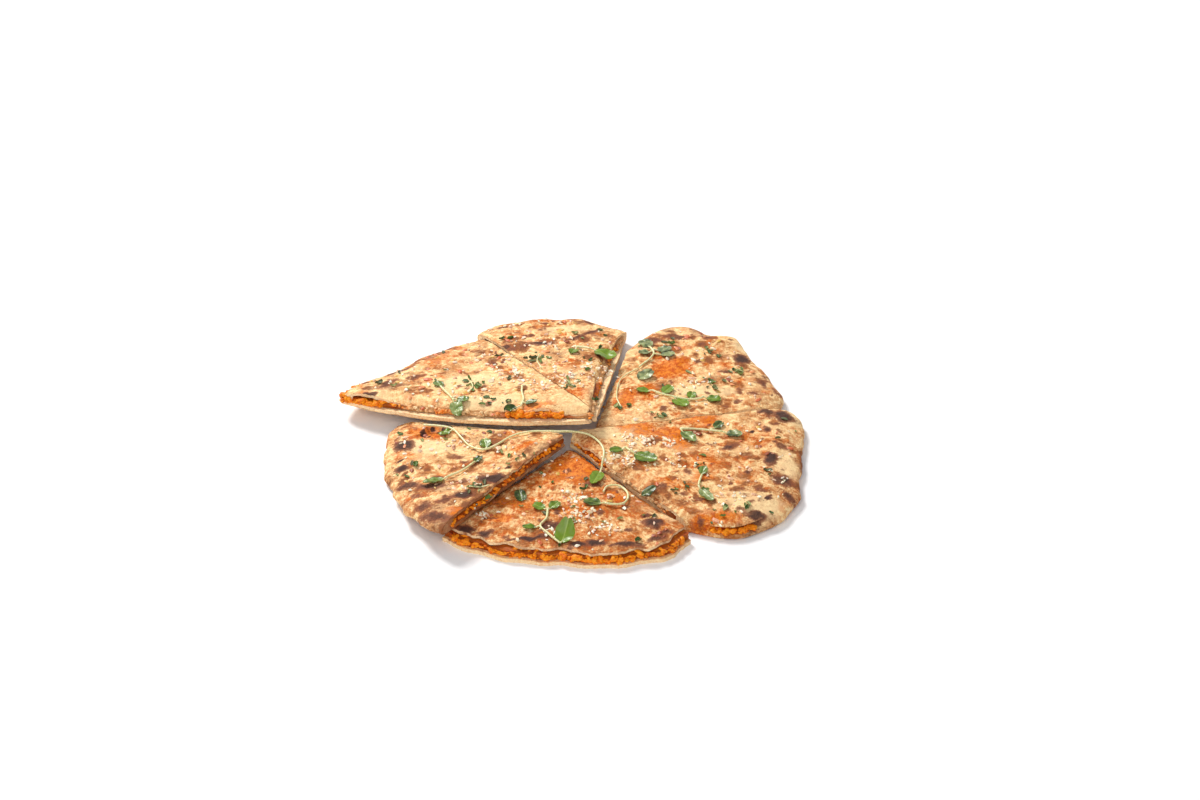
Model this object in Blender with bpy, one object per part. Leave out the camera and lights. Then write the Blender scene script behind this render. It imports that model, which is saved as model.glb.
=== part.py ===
"""A round stuffed flatbread, cut in six slices that still lie as a round.

Each slice is two sheets of dough, folded together at the rim, with a spiced
chicken filling between them that shows along the cuts. The front slice has
come open along its rim, so its two sheets are separate pieces. Sprigs of
cress lie on top, and crumbs of cheese are baked onto the crust.

Lengths in the tables are in millimetres and angles in degrees. X points to
the right, Y to the back and Z up, and the slices lie on Z = 0.
"""

import math
import random

import bmesh
import bpy
import numpy as np
from mathutils import Matrix, Vector
from mathutils.bvhtree import BVHTree

MM = 0.001
SHARP_ANGLE = math.radians(40)
THICK = 7.3
UNDER_SHEET = 1.9
UPPER_SHEET = 1.6
GAP = 0.35
FILLING_CLEAR = 0.6
POCKET_FROM_RIM = 8.0
FILLING_FROM_RIM = 10.0
TIP_WIDTH = 2.0
COLUMNS = 13
ROWS = 6
FILLING_ROWS = 5

# Rim of a folded slice: distance in from the edge and height over the underside
RIM_ROUND = ((2.6, 0.0), (1.0, 0.5), (0.15, 1.5), (0.0, 2.5), (0.45, 3.7), (1.7, 4.7), (4.4, 5.7))
RIM_BLEND = 15.0

# tip: where the point of the slice lies. span: directions of its two cut sides.
# radii: length from tip to rim, evenly spaced over the span. tip_lift and
# rim_lift: how far the slice is raised, where it lies on its neighbours.
# recess: how far the crust stops short of each cut side at mid-length.
# drawn_back: the same at the tip. bow: how far each cut side curves outwards.
SLICES = {
    "left": dict(
        tip=(11.9, -13.8),
        span=(120.6, 165.0),
        radii=(114, 113.8, 115.5, 114.8, 115.5, 123, 125),
        tip_lift=17.0,
        rim_lift=(0, 0, 1.2, 3.2, 6.2),
        recess=(0.3, 4.5),
        bow=(0, 9.0),
        drawn_back=(0.3, 2.4),
    ),
    "back": dict(
        tip=(12.6, -13.4),
        span=(82.0, 120.4),
        radii=(104, 111.5, 120, 121, 121.5, 122, 117),
        tip_lift=17.0,
        rim_lift=(2.0, 0, 0, 0, 1.0),
        recess=(4.0, 0.3),
        bow=(0, 0),
        drawn_back=(2.6, 0.3),
    ),
    "rear_right": dict(
        tip=(11.9, -8.4),
        span=(18.9, 79.1),
        radii=(91.8, 97.8, 100.7, 103.6, 106.4, 111.2, 120.1, 114.4, 117.2, 109, 87),
        tip_lift=4.0,
        rim_lift=(0, 0, 0),
        recess=(0.3, 0.6),
        bow=(0, 0),
        drawn_back=(0.3, 1.0),
    ),
    "right": dict(
        tip=(-0.4, -13.3),
        span=(-50.0, 18.0),
        radii=(85, 101, 108, 111.5, 112, 109.5, 108.5, 108, 109, 113, 109),
        tip_lift=5.0,
        rim_lift=(0, 0, 0),
        recess=(0.6, 0.3),
        bow=(0, 0),
        drawn_back=(0.6, 0.3),
    ),
    "front": dict(
        tip=(1.6, -16.8),
        span=(-129.0, -52.0),
        radii=(88.5, 89.5, 89, 88, 87.7, 89.9, 91.6, 92, 87),
        tip_lift=0.0,
        rim_lift=(0, 0, 0),
        recess=(0.6, 0.9),
        bow=(0, 0),
        drawn_back=(0.6, 0.6),
    ),
    "front_left": dict(
        tip=(0.1, -18.8),
        span=(165.0, 235.5),
        radii=(84, 84, 84.5, 84.8, 85.5, 86.5, 89.5, 92.5, 94.5),
        tip_lift=8.9,
        rim_lift=(0, 0, 0, 0.8, 2.6, 5.8, 8.9),
        recess=(0.6, 0.4),
        bow=(0, 0),
        drawn_back=(0.8, 0.6),
    ),
}

OPEN_SLICE = "front"
OPEN_CRUST_BACK = 3.8
OPEN_CRUST_SINK = 0.9
OPEN_CRUST_BLEND = 14.0
OPEN_FILLING_BACK = 1.6
FILLING_SHARE = 0.7

# The right slice has burst at its rim. where: share of the way across it.
# size: its half length and half depth. level: its lowest and highest level.
# spread: how wide the filling bulges out. filling_back: how near it comes to
# the rim. filling_top: how high it stands there.
BURST = dict(
    slice="right",
    where=0.125,
    size=(20.0, 12.0),
    level=(2.0, 5.45),
    spread=0.055,
    filling_back=2.0,
    filling_top=4.6,
    sides=16,
)
# The crust of the front left slice is torn open in one place.
TEAR = dict(slice="front_left", at=(-62.0, -11.5), half_size=(6.4, 4.5), bottom=6.1, sides=9)

STEM_RADIUS = 0.5
STALK_RADIUS = 0.42
STALK_INTO_STEM = 0.27
STEM_SIDES = 4
STEM_STEP = 5.0
STEM_REACH = 2.2
LEAF_THICK = 0.5
LEAF_POINTS = (4, 5)
LARGE_LEAF = 7.5
LEAF_REACH = 1.6
LEAF_SAG = 0.9
LEAF_RIPPLE = 0.18
CLEAR = 0.45

# stem: where the stem runs. leaves: how far along the stem each leaf grows,
# its stalk, length and width, the direction it points in, and how far its far
# end stands up. alone: the same for a loose leaf, after where it lies.
SPRIGS = {
    "back": dict(
        stem=((3, 59.5), (6, 58.5), (9.5, 57)),
        leaves=((1, 2, 11, 10, -25, 1.5), (0, 1.5, 6, 5, 250, 0.5)),
    ),
    "left_front": dict(
        stem=((-60, 18), (-57.5, 12), (-54, 4.5)),
        leaves=((1, 1.5, 9, 6, -70, 1.0), (1, 1.5, 6, 4.5, -10, 0.8), (0, 1.2, 6.5, 5, 110, 0.6)),
    ),
    "left_middle": dict(
        stem=((-22, -4.5), (-21, 2), (-22, 9), (-22, 15)),
        leaves=((0, 1.5, 6, 4.5, 190, 0.6), (0.15, 1.0, 5.5, 4, -5, 0.8)),
    ),
    "rear": dict(
        stem=((38.5, 69.5), (40, 64.5), (38, 58.5), (35, 53.5), (33, 50)),
        leaves=(
            (0, 1.5, 8, 7, 115, 0.6),
            (0.15, 1.5, 5.5, 5, 200, 0.6),
            (0.1, 2, 7, 5.5, 5, 0.9),
            (0.3, 3, 7, 5, 0, 0.5),
        ),
    ),
    "rear_curl": dict(alone=(36, 42, 9, 7, 40, 2.2)),
    "rear_front": dict(
        stem=((39, 26.5), (43, 24), (49, 22), (56, 20.5), (61, 21.5), (63, 23)),
        leaves=(
            (0.42, 0.9, 9, 7.5, -55, 1.0),
            (0.18, 1.0, 7.5, 5.5, 55, 0.8),
            (0.72, 1.0, 6, 4.5, 80, 0.5),
            (1, 1.0, 7, 5.5, -10, 0.6),
            (0, 1.2, 6, 4.5, 175, 0.4),
        ),
    ),
    "right_rear": dict(
        stem=((51.5, -7), (58, -6), (66, -6.5), (71, -7.5)),
        leaves=((0, 1.5, 10, 6, -57, 0.6), (1, 1.5, 7.5, 5.5, -15, 0.8), (0.7, 3.2, 6, 4.5, 50, 0.6)),
    ),
    "right_middle": dict(
        stem=((26.5, -25.5), (29, -28.5)),
        leaves=((1, 1.5, 11.5, 8, -32, 1.4), (0, 1.2, 6.5, 5, 205, 0.5)),
    ),
    "right_front": dict(
        stem=((60.5, -46), (59.5, -50), (59, -54)),
        leaves=((1, 1.2, 11, 5, -62, 0.7), (0, 1.2, 6, 4, 80, 0.5)),
    ),
    "right_inner": dict(alone=(36.8, -56.5, 7, 4.5, 20, 0.6)),
    "long": dict(
        stem=(
            (-67, -6), (-60, -8), (-53, -12), (-48.5, -20), (-44.5, -27),
            (-38.5, -31), (-33, -28.5), (-25, -20.5), (-16, -18), (-6, -19),
            (3, -16.5), (9.5, -17), (14.5, -22.5), (16.5, -29), (15.5, -37),
        ),
        leaves=((1, 1.5, 13, 6, -105, 1.0), (0.36, 1.2, 7, 5.5, 100, 0.7), (0.14, 1.0, 6, 4.5, 205, 0.5)),
    ),
    "tendril": dict(
        stem=(
            (17, -67), (21, -67.5), (25.5, -66), (27.5, -61),
            (26.5, -55.5), (22.5, -51.5), (18, -53), (16.5, -58),
        ),
        leaves=((0, 1.2, 8, 6, 170, 0.8),),
    ),
    "front_left": dict(
        stem=((-53, -54.5), (-47, -49.5), (-42, -43)),
        leaves=((0, 1.5, 10, 6, 203, 1.2), (1, 1.2, 5, 4, 65, 0.5)),
    ),
    "front": dict(
        stem=((-8, -72), (-8.5, -79), (-11, -85.5), (-7, -91.5), (-2, -97.5)),
        leaves=(
            (0, 1.2, 6, 5, 150, 0.7),
            (0, 1.2, 6, 5, 50, 0.5),
            (0.5, 1.5, 6, 4, 190, 0.6),
            (1, 1.0, 8.5, 9, 70, 7.5),
        ),
    ),
    "front_inner": dict(alone=(-20.5, -60.5, 8, 5.5, 100, 1.0)),
}

# Crumbs and flakes of one slice, their size, and how far they keep from each
# other and from the sprigs. They lie between two depths in from the rim.
CRUMBS = 9
FLAKES = 3
CRUMB_RADIUS = (0.8, 1.35)
CRUMB_SPACING = 8.0
CRUMB_FROM_SPRIG = 3.4
CRUMB_DEPTHS = (7.0, 67.0)
CRUMB_STRETCH = (1.15, 0.95, 0.75)
FLAKE_STRETCH = (1.7, 0.75, 0.45)


def spread(values, t):
    """A smooth curve through evenly spaced values, for t from 0 to 1."""
    v = np.asarray(values, float)
    last = len(v) - 1
    t = np.clip(np.asarray(t, float), 0, 1) * last
    i = np.minimum(t.astype(int), last - 1)
    k = t - i
    v = np.concatenate([[2 * v[0] - v[1]], v, [2 * v[-1] - v[-2]]])
    a, b, c, d = v[i], v[i + 1], v[i + 2], v[i + 3]
    square = 2 * a - 5 * b + 4 * c - d
    cube = 3 * b - a - 3 * c + d
    return 0.5 * (2 * b + (c - a) * k + square * k**2 + cube * k**3)


def swell(x, y):
    """Soft unevenness of a baked crust, in millimetres."""
    slow = np.sin(x / 11 + 1.3 * np.sin(y / 19)) * np.cos(y / 9 + 0.8)
    quick = np.sin(x / 5.3 + y / 8.1 + 2.0) * np.sin(y / 4.7 - x / 9.7)
    return 0.28 * slow + 0.22 * quick


class Slice:
    """The plan and the heights of one slice."""

    def __init__(self, form):
        self.form = form
        self.tip = np.array(form["tip"], float)
        self.start, self.end = np.radians(form["span"])

    def rim(self, u):
        angle = self.start + (self.end - self.start) * u
        wave = 0.5 * np.sin(angle * 31 + self.start) + 0.4 * np.sin(angle * 17 + 1)
        away = spread(self.form["radii"], u) + wave
        return self.tip[0] + away * np.cos(angle), self.tip[1] + away * np.sin(angle), away

    def drawn_tip(self, drawn_back):
        """The tip of a sheet that keeps these distances to the two cut sides."""
        wide = math.sin(self.end - self.start)
        from_start, from_end = (side / wide for side in drawn_back)
        x = self.tip[0] + from_end * math.cos(self.start) + from_start * math.cos(self.end)
        y = self.tip[1] + from_end * math.sin(self.start) + from_start * math.sin(self.end)
        return x, y

    def plan(self, u, back, drawn_back=(0, 0), recess=(0, 0)):
        """A point `back` millimetres in from the rim, on column u. With
        drawn_back and recess the sheet stops short of the cut sides."""
        rim_x, rim_y = self.rim(u)[:2]
        tip_x, tip_y = self.drawn_tip(drawn_back)
        along = 1 - back / np.hypot(rim_x - tip_x, rim_y - tip_y)
        x = tip_x + (rim_x - tip_x) * along
        y = tip_y + (rim_y - tip_y) * along
        belly = np.clip(4 * along * (1 - along), 0, 1)
        for side, angle, turn in ((0, self.start, 1), (1, self.end, -1)):
            near = ((1 - u) if side == 0 else u) ** 3
            inwards = (recess[side] - self.form["bow"][side] * (along > 0)) * near * belly * turn
            x = x - inwards * np.sin(angle)
            y = y + inwards * np.cos(angle)
        return x, y

    def lift(self, u, x, y):
        """Height of the underside at a point on column u."""
        away = self.rim(u)[2]
        out = np.clip(np.hypot(x - self.tip[0], y - self.tip[1]) / away, 0, 1)
        rim_lift = spread(self.form["rim_lift"], u)
        return self.form["tip_lift"] + (rim_lift - self.form["tip_lift"]) * out

    def crust(self, back, x, y):
        """Height of the crust over the underside, `back` in from a folded rim."""
        edge_back, edge_high = RIM_ROUND[-1]
        rise = np.clip((back - edge_back) / (RIM_BLEND - edge_back), 0, 1)
        rise = rise * (2 - rise)
        return edge_high + (THICK - edge_high + swell(x, y)) * rise

    def open_crust(self, back, x, y):
        """Height of the crust near an open rim, where it sinks a little."""
        low = OPEN_CRUST_SINK * np.clip(1 - back / OPEN_CRUST_BLEND, 0, 1) ** 2
        return THICK + swell(x, y) - low

    def length(self, u, drawn_back):
        """From the rim to the tip of a sheet drawn back from the cut sides."""
        rim_x, rim_y = self.rim(u)[:2]
        tip_x, tip_y = self.drawn_tip(drawn_back)
        return np.hypot(rim_x - tip_x, rim_y - tip_y)


def grid_rows(shape, u, drawn_back, first, rows):
    """Distances in from the rim, from `first` to just short of the tip."""
    long = shape.length(u, drawn_back) - TIP_WIDTH
    share = np.linspace(0, 1, rows)[:, None]
    return first + (long[None, :] - first) * share


def folded_sheet(shape):
    """Rings of points round the two sheets and their folded rim: one row of
    the array for each point of the section, one column across the slice."""
    u = np.linspace(0, 1, COLUMNS)
    form = shape.form
    rings = []

    def ring(back, high, drawn_back=(0, 0), recess=(0, 0)):
        x, y = shape.plan(u, back, drawn_back, recess)
        z = shape.lift(u, x, y)
        z = z + (high(back, x, y) if callable(high) else high)
        rings.append(np.stack([x, y, z], -1))

    below = grid_rows(shape, u, (0, 0), POCKET_FROM_RIM, ROWS)
    above = grid_rows(shape, u, form["drawn_back"], POCKET_FROM_RIM, ROWS)
    upper = dict(drawn_back=form["drawn_back"], recess=form["recess"])
    for back in below[::-1]:
        ring(back, 0.0)
    for back, high in RIM_ROUND:
        ring(np.full(COLUMNS, back), high)
    for back in above:
        ring(back, shape.crust, **upper)
    for back in above[::-1]:
        ring(back, lambda *place: shape.crust(*place) - UPPER_SHEET, **upper)
    for back in below:
        ring(back, UNDER_SHEET)
    return np.array(rings)


def mesh_from_rings(rings):
    """A closed mesh from the rings of folded_sheet, with its two cut ends."""
    count, columns = rings.shape[:2]
    mesh = bmesh.new()
    verts = [[mesh.verts.new(p * MM) for p in ring] for ring in rings]
    for i in range(count):
        low, high = verts[i], verts[(i + 1) % count]
        for j in range(columns - 1):
            mesh.faces.new((low[j], low[j + 1], high[j + 1], high[j]))
    rim = len(RIM_ROUND)
    for j, turn in ((0, 1), (columns - 1, -1)):
        side = [ring[j] for ring in verts]
        under = side[:ROWS]
        fold = side[ROWS : ROWS + rim]
        over = side[ROWS + rim : 2 * ROWS + rim]
        pocket_top = side[2 * ROWS + rim : 3 * ROWS + rim][::-1]
        pocket_floor = side[3 * ROWS + rim :]
        faces = []
        for i in range(ROWS - 1):
            faces.append((under[i], under[i + 1], pocket_floor[ROWS - 2 - i], pocket_floor[ROWS - 1 - i]))
            faces.append((over[i], over[i + 1], pocket_top[i + 1], pocket_top[i]))
        edge = [under[-1]] + fold + [over[0]]
        middle = len(edge) // 2
        for i in range(len(edge) - 1):
            inner = pocket_floor[0] if i < middle else pocket_top[0]
            faces.append((edge[i], edge[i + 1], inner))
        faces.append((edge[middle], pocket_top[0], pocket_floor[0]))
        for face in faces:
            mesh.faces.new(face[::turn])
    return mesh


def border_pairs(rows, columns):
    """Neighbouring places round the edge of a grid of points."""
    border = [(i, 0) for i in range(rows)] + [(rows - 1, j) for j in range(1, columns)]
    border += [(i, columns - 1) for i in range(rows - 2, -1, -1)]
    border += [(0, j) for j in range(columns - 2, 0, -1)]
    return zip(border, border[1:] + border[:1])


def slab(low, high):
    """A closed mesh between two grids of points, such as a sheet of dough."""
    rows, columns = low.shape[:2]
    mesh = bmesh.new()
    down = [[mesh.verts.new(p * MM) for p in row] for row in low]
    up = [[mesh.verts.new(p * MM) for p in row] for row in high]
    for i in range(rows - 1):
        for j in range(columns - 1):
            down_quad = (down[i][j], down[i][j + 1], down[i + 1][j + 1], down[i + 1][j])
            up_quad = (up[i][j], up[i + 1][j], up[i + 1][j + 1], up[i][j + 1])
            mesh.faces.new(down_quad)
            mesh.faces.new(up_quad)
    for a, b in border_pairs(rows, columns):
        mesh.faces.new((down[a[0]][a[1]], down[b[0]][b[1]], up[b[0]][b[1]], up[a[0]][a[1]]))
    return mesh


def layer(shape, first_back, low, high, drawn_back=(0, 0), recess=(0, 0), rows=ROWS):
    """A sheet that lies between two heights over the underside. It begins
    first_back in from the rim, given for each column of points."""
    u = np.linspace(0, 1, len(first_back))
    floors = []
    tops = []
    for back in grid_rows(shape, u, drawn_back, first_back, rows):
        x, y = shape.plan(u, back, drawn_back, recess)
        base = shape.lift(u, x, y)
        floors.append(np.stack([x, y, base + low(back, x, y)], -1))
        tops.append(np.stack([x, y, base + high(back, x, y)], -1))
    return np.array(floors), np.array(tops)


def smooth(data):
    data.shade_smooth()
    data.set_sharp_from_angle(angle=SHARP_ANGLE)


def add_object(name, mesh, finish):
    """Puts a closed mesh into the scene under a plain name."""
    bmesh.ops.triangulate(mesh, faces=mesh.faces[:])
    bmesh.ops.recalc_face_normals(mesh, faces=mesh.faces[:])
    data = bpy.data.meshes.new(name)
    mesh.to_mesh(data)
    mesh.free()
    smooth(data)
    thing = bpy.data.objects.new(name, data)
    bpy.context.scene.collection.objects.link(thing)
    if finish:
        data.materials.append(finish)
    return thing


def material(name, colour, roughness):
    made = bpy.data.materials.new(name)
    made.use_nodes = True
    shader = made.node_tree.nodes["Principled BSDF"]
    shader.inputs["Base Color"].default_value = (*colour, 1)
    shader.inputs["Roughness"].default_value = roughness
    shader.inputs["Metallic"].default_value = 0.0
    return made


def flat(height):
    return lambda back, x, y: np.full_like(x, height)


def shapes_of_slices():
    return {name: Slice(form) for name, form in SLICES.items()}


def build_open_bread(shape, dough, name):
    """The two separate sheets of the slice whose rim has come open."""
    form = shape.form
    lower = slab(*layer(shape, np.zeros(COLUMNS), flat(0.0), flat(UNDER_SHEET)))
    under = lambda *place: shape.open_crust(*place) - UPPER_SHEET
    edge = np.full(COLUMNS, OPEN_CRUST_BACK)
    upper = slab(*layer(shape, edge, under, shape.open_crust, form["drawn_back"], form["recess"]))
    add_object("bread_" + name + "_lower", lower, dough)
    return add_object("bread_" + name + "_upper", upper, dough)


def build_filling(shape, stuffing, name):
    """The filling fills the pocket and shows along the cuts and at openings."""
    first = np.full(COLUMNS, FILLING_FROM_RIM)
    crust = shape.crust
    ceiling = THICK
    if name == OPEN_SLICE:
        first[:] = OPEN_FILLING_BACK
        crust = shape.open_crust
    if name == BURST["slice"]:
        share = np.linspace(0, 1, 2 * COLUMNS - 1)
        first = np.full(len(share), FILLING_FROM_RIM)
        ceiling = BURST["filling_top"]
        bulge = np.exp(-(((share - BURST["where"]) / BURST["spread"]) ** 2))
        first -= (first - BURST["filling_back"]) * bulge
    top = lambda *place: np.minimum(crust(*place) - UPPER_SHEET - FILLING_CLEAR, ceiling)
    drawn_back = tuple(FILLING_SHARE * side for side in shape.form["drawn_back"])
    recess = tuple(FILLING_SHARE * side for side in shape.form["recess"])
    floor = flat(UNDER_SHEET + GAP)
    body = slab(*layer(shape, first, floor, top, drawn_back, recess, FILLING_ROWS))
    return add_object("filling_" + name, body, stuffing)


def prism(outline, low, high, name):
    """An upright cutter with the given outline, in millimetres."""
    mesh = bmesh.new()
    bottom = [mesh.verts.new((x * MM, y * MM, low * MM)) for x, y in outline]
    top = [mesh.verts.new((x * MM, y * MM, high * MM)) for x, y in outline]
    mesh.faces.new(bottom[::-1])
    mesh.faces.new(top)
    for i in range(len(outline)):
        j = (i + 1) % len(outline)
        mesh.faces.new((bottom[i], bottom[j], top[j], top[i]))
    return add_object(name, mesh, None)


def keep_outer_shell(data):
    """Fills hollows that joining has sealed, and drops loose scraps."""
    mesh = bmesh.new()
    mesh.from_mesh(data)
    left = set(mesh.verts)
    shells = []
    while left:
        shell = {left.pop()}
        edge = list(shell)
        while edge:
            vert = edge.pop()
            for link in vert.link_edges:
                other = link.other_vert(vert)
                if other in left:
                    left.discard(other)
                    shell.add(other)
                    edge.append(other)
        shells.append(shell)
    widest = max(shells, key=lambda shell: max(v.co.x for v in shell) - min(v.co.x for v in shell))
    for shell in shells:
        if shell is not widest:
            bmesh.ops.delete(mesh, geom=list(shell), context="VERTS")
    mesh.to_mesh(data)
    mesh.free()


def combine(thing, operation, others, solver="EXACT"):
    """Joins the others to a solid, or cuts them out of it, and removes them."""
    group = bpy.data.collections.new("operands")
    for other in others:
        group.objects.link(other)
    step = thing.modifiers.new(operation.lower(), "BOOLEAN")
    step.operation = operation
    step.solver = solver
    step.operand_type = "COLLECTION"
    step.collection = group
    scene = bpy.context.evaluated_depsgraph_get()
    solid = bpy.data.meshes.new_from_object(thing.evaluated_get(scene))
    thing.modifiers.remove(step)
    keep_outer_shell(solid)
    smooth(solid)
    old = thing.data
    thing.data = solid
    solid.name = thing.name
    bpy.data.meshes.remove(old)
    for other in others:
        bpy.data.objects.remove(other, do_unlink=True)
    bpy.data.collections.remove(group)


def cut_burst(bread, shape):
    """Opens the fold at the rim, from the pocket outwards."""
    share = BURST["where"]
    x, y = (float(v) for v in shape.plan(share, POCKET_FROM_RIM))
    before, after = shape.rim(share - 0.08), shape.rim(share + 0.08)
    rim_way = math.atan2(after[1] - before[1], after[0] - before[0])
    long, deep = BURST["size"]
    outline = []
    for i in range(BURST["sides"]):
        turn = 2 * math.pi * i / BURST["sides"]
        along, out = long * math.cos(turn), deep * math.sin(turn)
        px = x + along * math.cos(rim_way) - out * math.sin(rim_way)
        py = y + along * math.sin(rim_way) + out * math.cos(rim_way)
        outline.append((px, py))
    combine(bread, "DIFFERENCE", [prism(outline, *BURST["level"], "burst_cutter")])


def cut_tear(bread):
    """Opens a ragged hole in the crust, through to the filling."""
    draw = random.Random(4)
    x, y = TEAR["at"]
    long, wide = TEAR["half_size"]
    outline = []
    for i in range(TEAR["sides"]):
        turn = 2 * math.pi * i / TEAR["sides"]
        away = draw.uniform(0.75, 1.2)
        outline.append((x + away * long * math.cos(turn), y + away * wide * math.sin(turn)))
    combine(bread, "DIFFERENCE", [prism(outline, TEAR["bottom"], 2 * THICK, "tear_cutter")])


class Surface:
    """Finds the height of what lies under a point, from the built pieces."""

    def __init__(self, things):
        points = []
        faces = []
        for thing in things:
            base = len(points)
            points += [v.co / MM for v in thing.data.vertices]
            faces += [[base + i for i in face.vertices] for face in thing.data.polygons]
        self.tree = BVHTree.FromPolygons(points, faces)

    def height(self, x, y, reach=0.0):
        """The highest level within `reach` millimetres of a point."""
        spots = [(0.0, 0.0)]
        if reach:
            spots += [(reach * math.cos(a), reach * math.sin(a)) for a in np.arange(8) * math.pi / 4]
            spots += [(0.5 * dx, 0.5 * dy) for dx, dy in spots[1:]]
        best = 0.0
        for dx, dy in spots:
            hit = self.tree.ray_cast(Vector((x + dx, y + dy, 90.0)), Vector((0, 0, -1)))[0]
            if hit is not None:
                best = max(best, hit.z)
        return best


def smooth_route(points, step):
    """Evenly spaced points on a smooth curve through the given ones."""
    points = np.array(points, float)
    share = np.linspace(0, 1, 20 * len(points))
    x = spread(points[:, 0], share)
    y = spread(points[:, 1], share)
    travelled = np.concatenate([[0], np.cumsum(np.hypot(np.diff(x), np.diff(y)))])
    count = max(3, int(round(travelled[-1] / step)) + 1)
    wanted = np.linspace(0, travelled[-1], count)
    return np.interp(wanted, travelled, x), np.interp(wanted, travelled, y)


def tube(path, radius, green, name, twist=0.0):
    """A round stalk through the points of a path, closed at its ends."""
    path = [Vector(p) for p in path]
    mesh = bmesh.new()
    rings = []
    for i, point in enumerate(path):
        ahead = (path[min(i + 1, len(path) - 1)] - path[max(i - 1, 0)]).normalized()
        side = ahead.cross(Vector((0, 0, 1))).normalized()
        over = side.cross(ahead)
        ring = []
        for k in range(STEM_SIDES):
            turn = 2 * math.pi * k / STEM_SIDES + twist
            offset = (side * math.cos(turn) + over * math.sin(turn)) * radius
            ring.append(mesh.verts.new((point + offset) * MM))
        rings.append(ring)
    for low, high in zip(rings, rings[1:]):
        for k in range(STEM_SIDES):
            m = (k + 1) % STEM_SIDES
            mesh.faces.new((low[k], low[m], high[m], high[k]))
    mesh.faces.new(rings[0][::-1])
    mesh.faces.new(rings[-1])
    return add_object(name, mesh, green)


def stem_path(route, surface):
    """A stem lies on the bread like a soft thread and bridges the steps."""
    x, y = smooth_route(route, STEM_STEP)
    lowest = np.array([surface.height(px, py, STEM_REACH) for px, py in zip(x, y)])
    lowest += CLEAR + STEM_RADIUS
    z = lowest.copy()
    for _ in range(40):
        z[1:-1] = np.maximum(lowest[1:-1], 0.5 * (z[:-2] + z[2:]) - 0.02)
    return list(zip(x, y, z))


def leaf_point(leaf, surface, s, t):
    """A point of a leaf's lower face, for s and t from -1 to 1."""
    x, y, long, wide, heading, stand = leaf
    heading = math.radians(heading)
    along = 0.5 * long * s * math.sqrt(1 - t * t / 2)
    across = 0.5 * wide * t * math.sqrt(1 - s * s / 2)
    px = x + along * math.cos(heading) - across * math.sin(heading)
    py = y + along * math.sin(heading) + across * math.cos(heading)
    rise = stand * (0.5 + along / long) ** 2 + 0.5 * (2 * across / wide) ** 2
    ripple = LEAF_RIPPLE * (1 + math.sin(1.7 * along + x) * abs(2 * across / wide))
    held = surface.height(x, y, 0.4 * long) - LEAF_SAG
    return px, py, max(surface.height(px, py, LEAF_REACH), held) + CLEAR + rise + ripple


def build_leaf(leaf, surface, green, name):
    """A thin wavy leaf, with both faces split into triangles alike."""
    count = LEAF_POINTS[leaf[2] > LARGE_LEAF]
    share = np.linspace(-1, 1, count)
    low = np.array([[leaf_point(leaf, surface, s, t) for t in share] for s in share])
    high = low + np.array([0, 0, LEAF_THICK])
    mesh = bmesh.new()
    down = [[mesh.verts.new(p * MM) for p in row] for row in low]
    up = [[mesh.verts.new(p * MM) for p in row] for row in high]
    last = count - 1
    for i in range(last):
        for j in range(last):
            corners = ((i, j), (i + 1, j), (i + 1, j + 1), (i, j + 1))
            for three in ((0, 1, 2), (0, 2, 3)):
                mesh.faces.new([up[corners[k][0]][corners[k][1]] for k in three])
                mesh.faces.new([down[corners[k][0]][corners[k][1]] for k in three[::-1]])
    for a, b in border_pairs(count, count):
        mesh.faces.new((down[a[0]][a[1]], down[b[0]][b[1]], up[b[0]][b[1]], up[a[0]][a[1]]))
    return add_object(name, mesh, green)


def grow(joint, stalk, long, wide, heading, stand):
    """A leaf at the end of a stalk that leaves the stem at a joint."""
    reach = stalk + STEM_RADIUS + 0.5 * long
    turn = math.radians(heading)
    x = joint[0] + reach * math.cos(turn)
    y = joint[1] + reach * math.sin(turn)
    return x, y, long, wide, heading, stand


def build_stalk(leaf, joint, surface, green, name):
    """The short stalk that joins a leaf to its stem."""
    half = Vector((0, 0, 0.5 * LEAF_THICK))
    inner = Vector(leaf_point(leaf, surface, -0.4, 0.0)) + half
    base = Vector(leaf_point(leaf, surface, -1.0, 0.0)) + half
    end = Vector(joint)
    end += (end - base).normalized() * STALK_INTO_STEM
    return tube([inner, base, end], STALK_RADIUS, green, name, 0.3)


def build_sprigs(surface):
    """Each sprig is one piece: its stem, its leaves and their stalks."""
    green = material("cress", (0.16, 0.36, 0.05), 0.5)
    made = []
    for name, sprig in SPRIGS.items():
        if "alone" in sprig:
            made.append(build_leaf(sprig["alone"], surface, green, "cress_" + name))
            continue
        stem = stem_path(sprig["stem"], surface)
        body = tube(stem, STEM_RADIUS, green, "cress_" + name)
        pieces = []
        for along, *form in sprig["leaves"]:
            joint = stem[round(along * (len(stem) - 1))]
            leaf = grow(joint, *form)
            pieces.append(build_leaf(leaf, surface, green, "leaf_piece"))
            pieces.append(build_stalk(leaf, joint, surface, green, "stalk_piece"))
        combine(body, "UNION", pieces, "MANIFOLD")
        made.append(body)
    return made


def crumb_mesh(x, y, z, draw, flake):
    """One crumb of cheese, or one flake of herb, with its own uneven form."""
    mesh = bmesh.new()
    radius = draw.uniform(*CRUMB_RADIUS)
    bmesh.ops.create_icosphere(mesh, subdivisions=1, radius=radius * MM)
    turn = draw.uniform(0, math.pi)
    stretch = FLAKE_STRETCH if flake else CRUMB_STRETCH
    for vert in mesh.verts:
        vert.co *= draw.uniform(0.82, 1.18)
        px, py = vert.co.x * stretch[0], vert.co.y * stretch[1]
        vert.co.x = px * math.cos(turn) - py * math.sin(turn) + x * MM
        vert.co.y = px * math.sin(turn) + py * math.cos(turn) + y * MM
        vert.co.z = vert.co.z * stretch[2] + (z + 0.12 * radius) * MM
    return mesh


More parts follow.
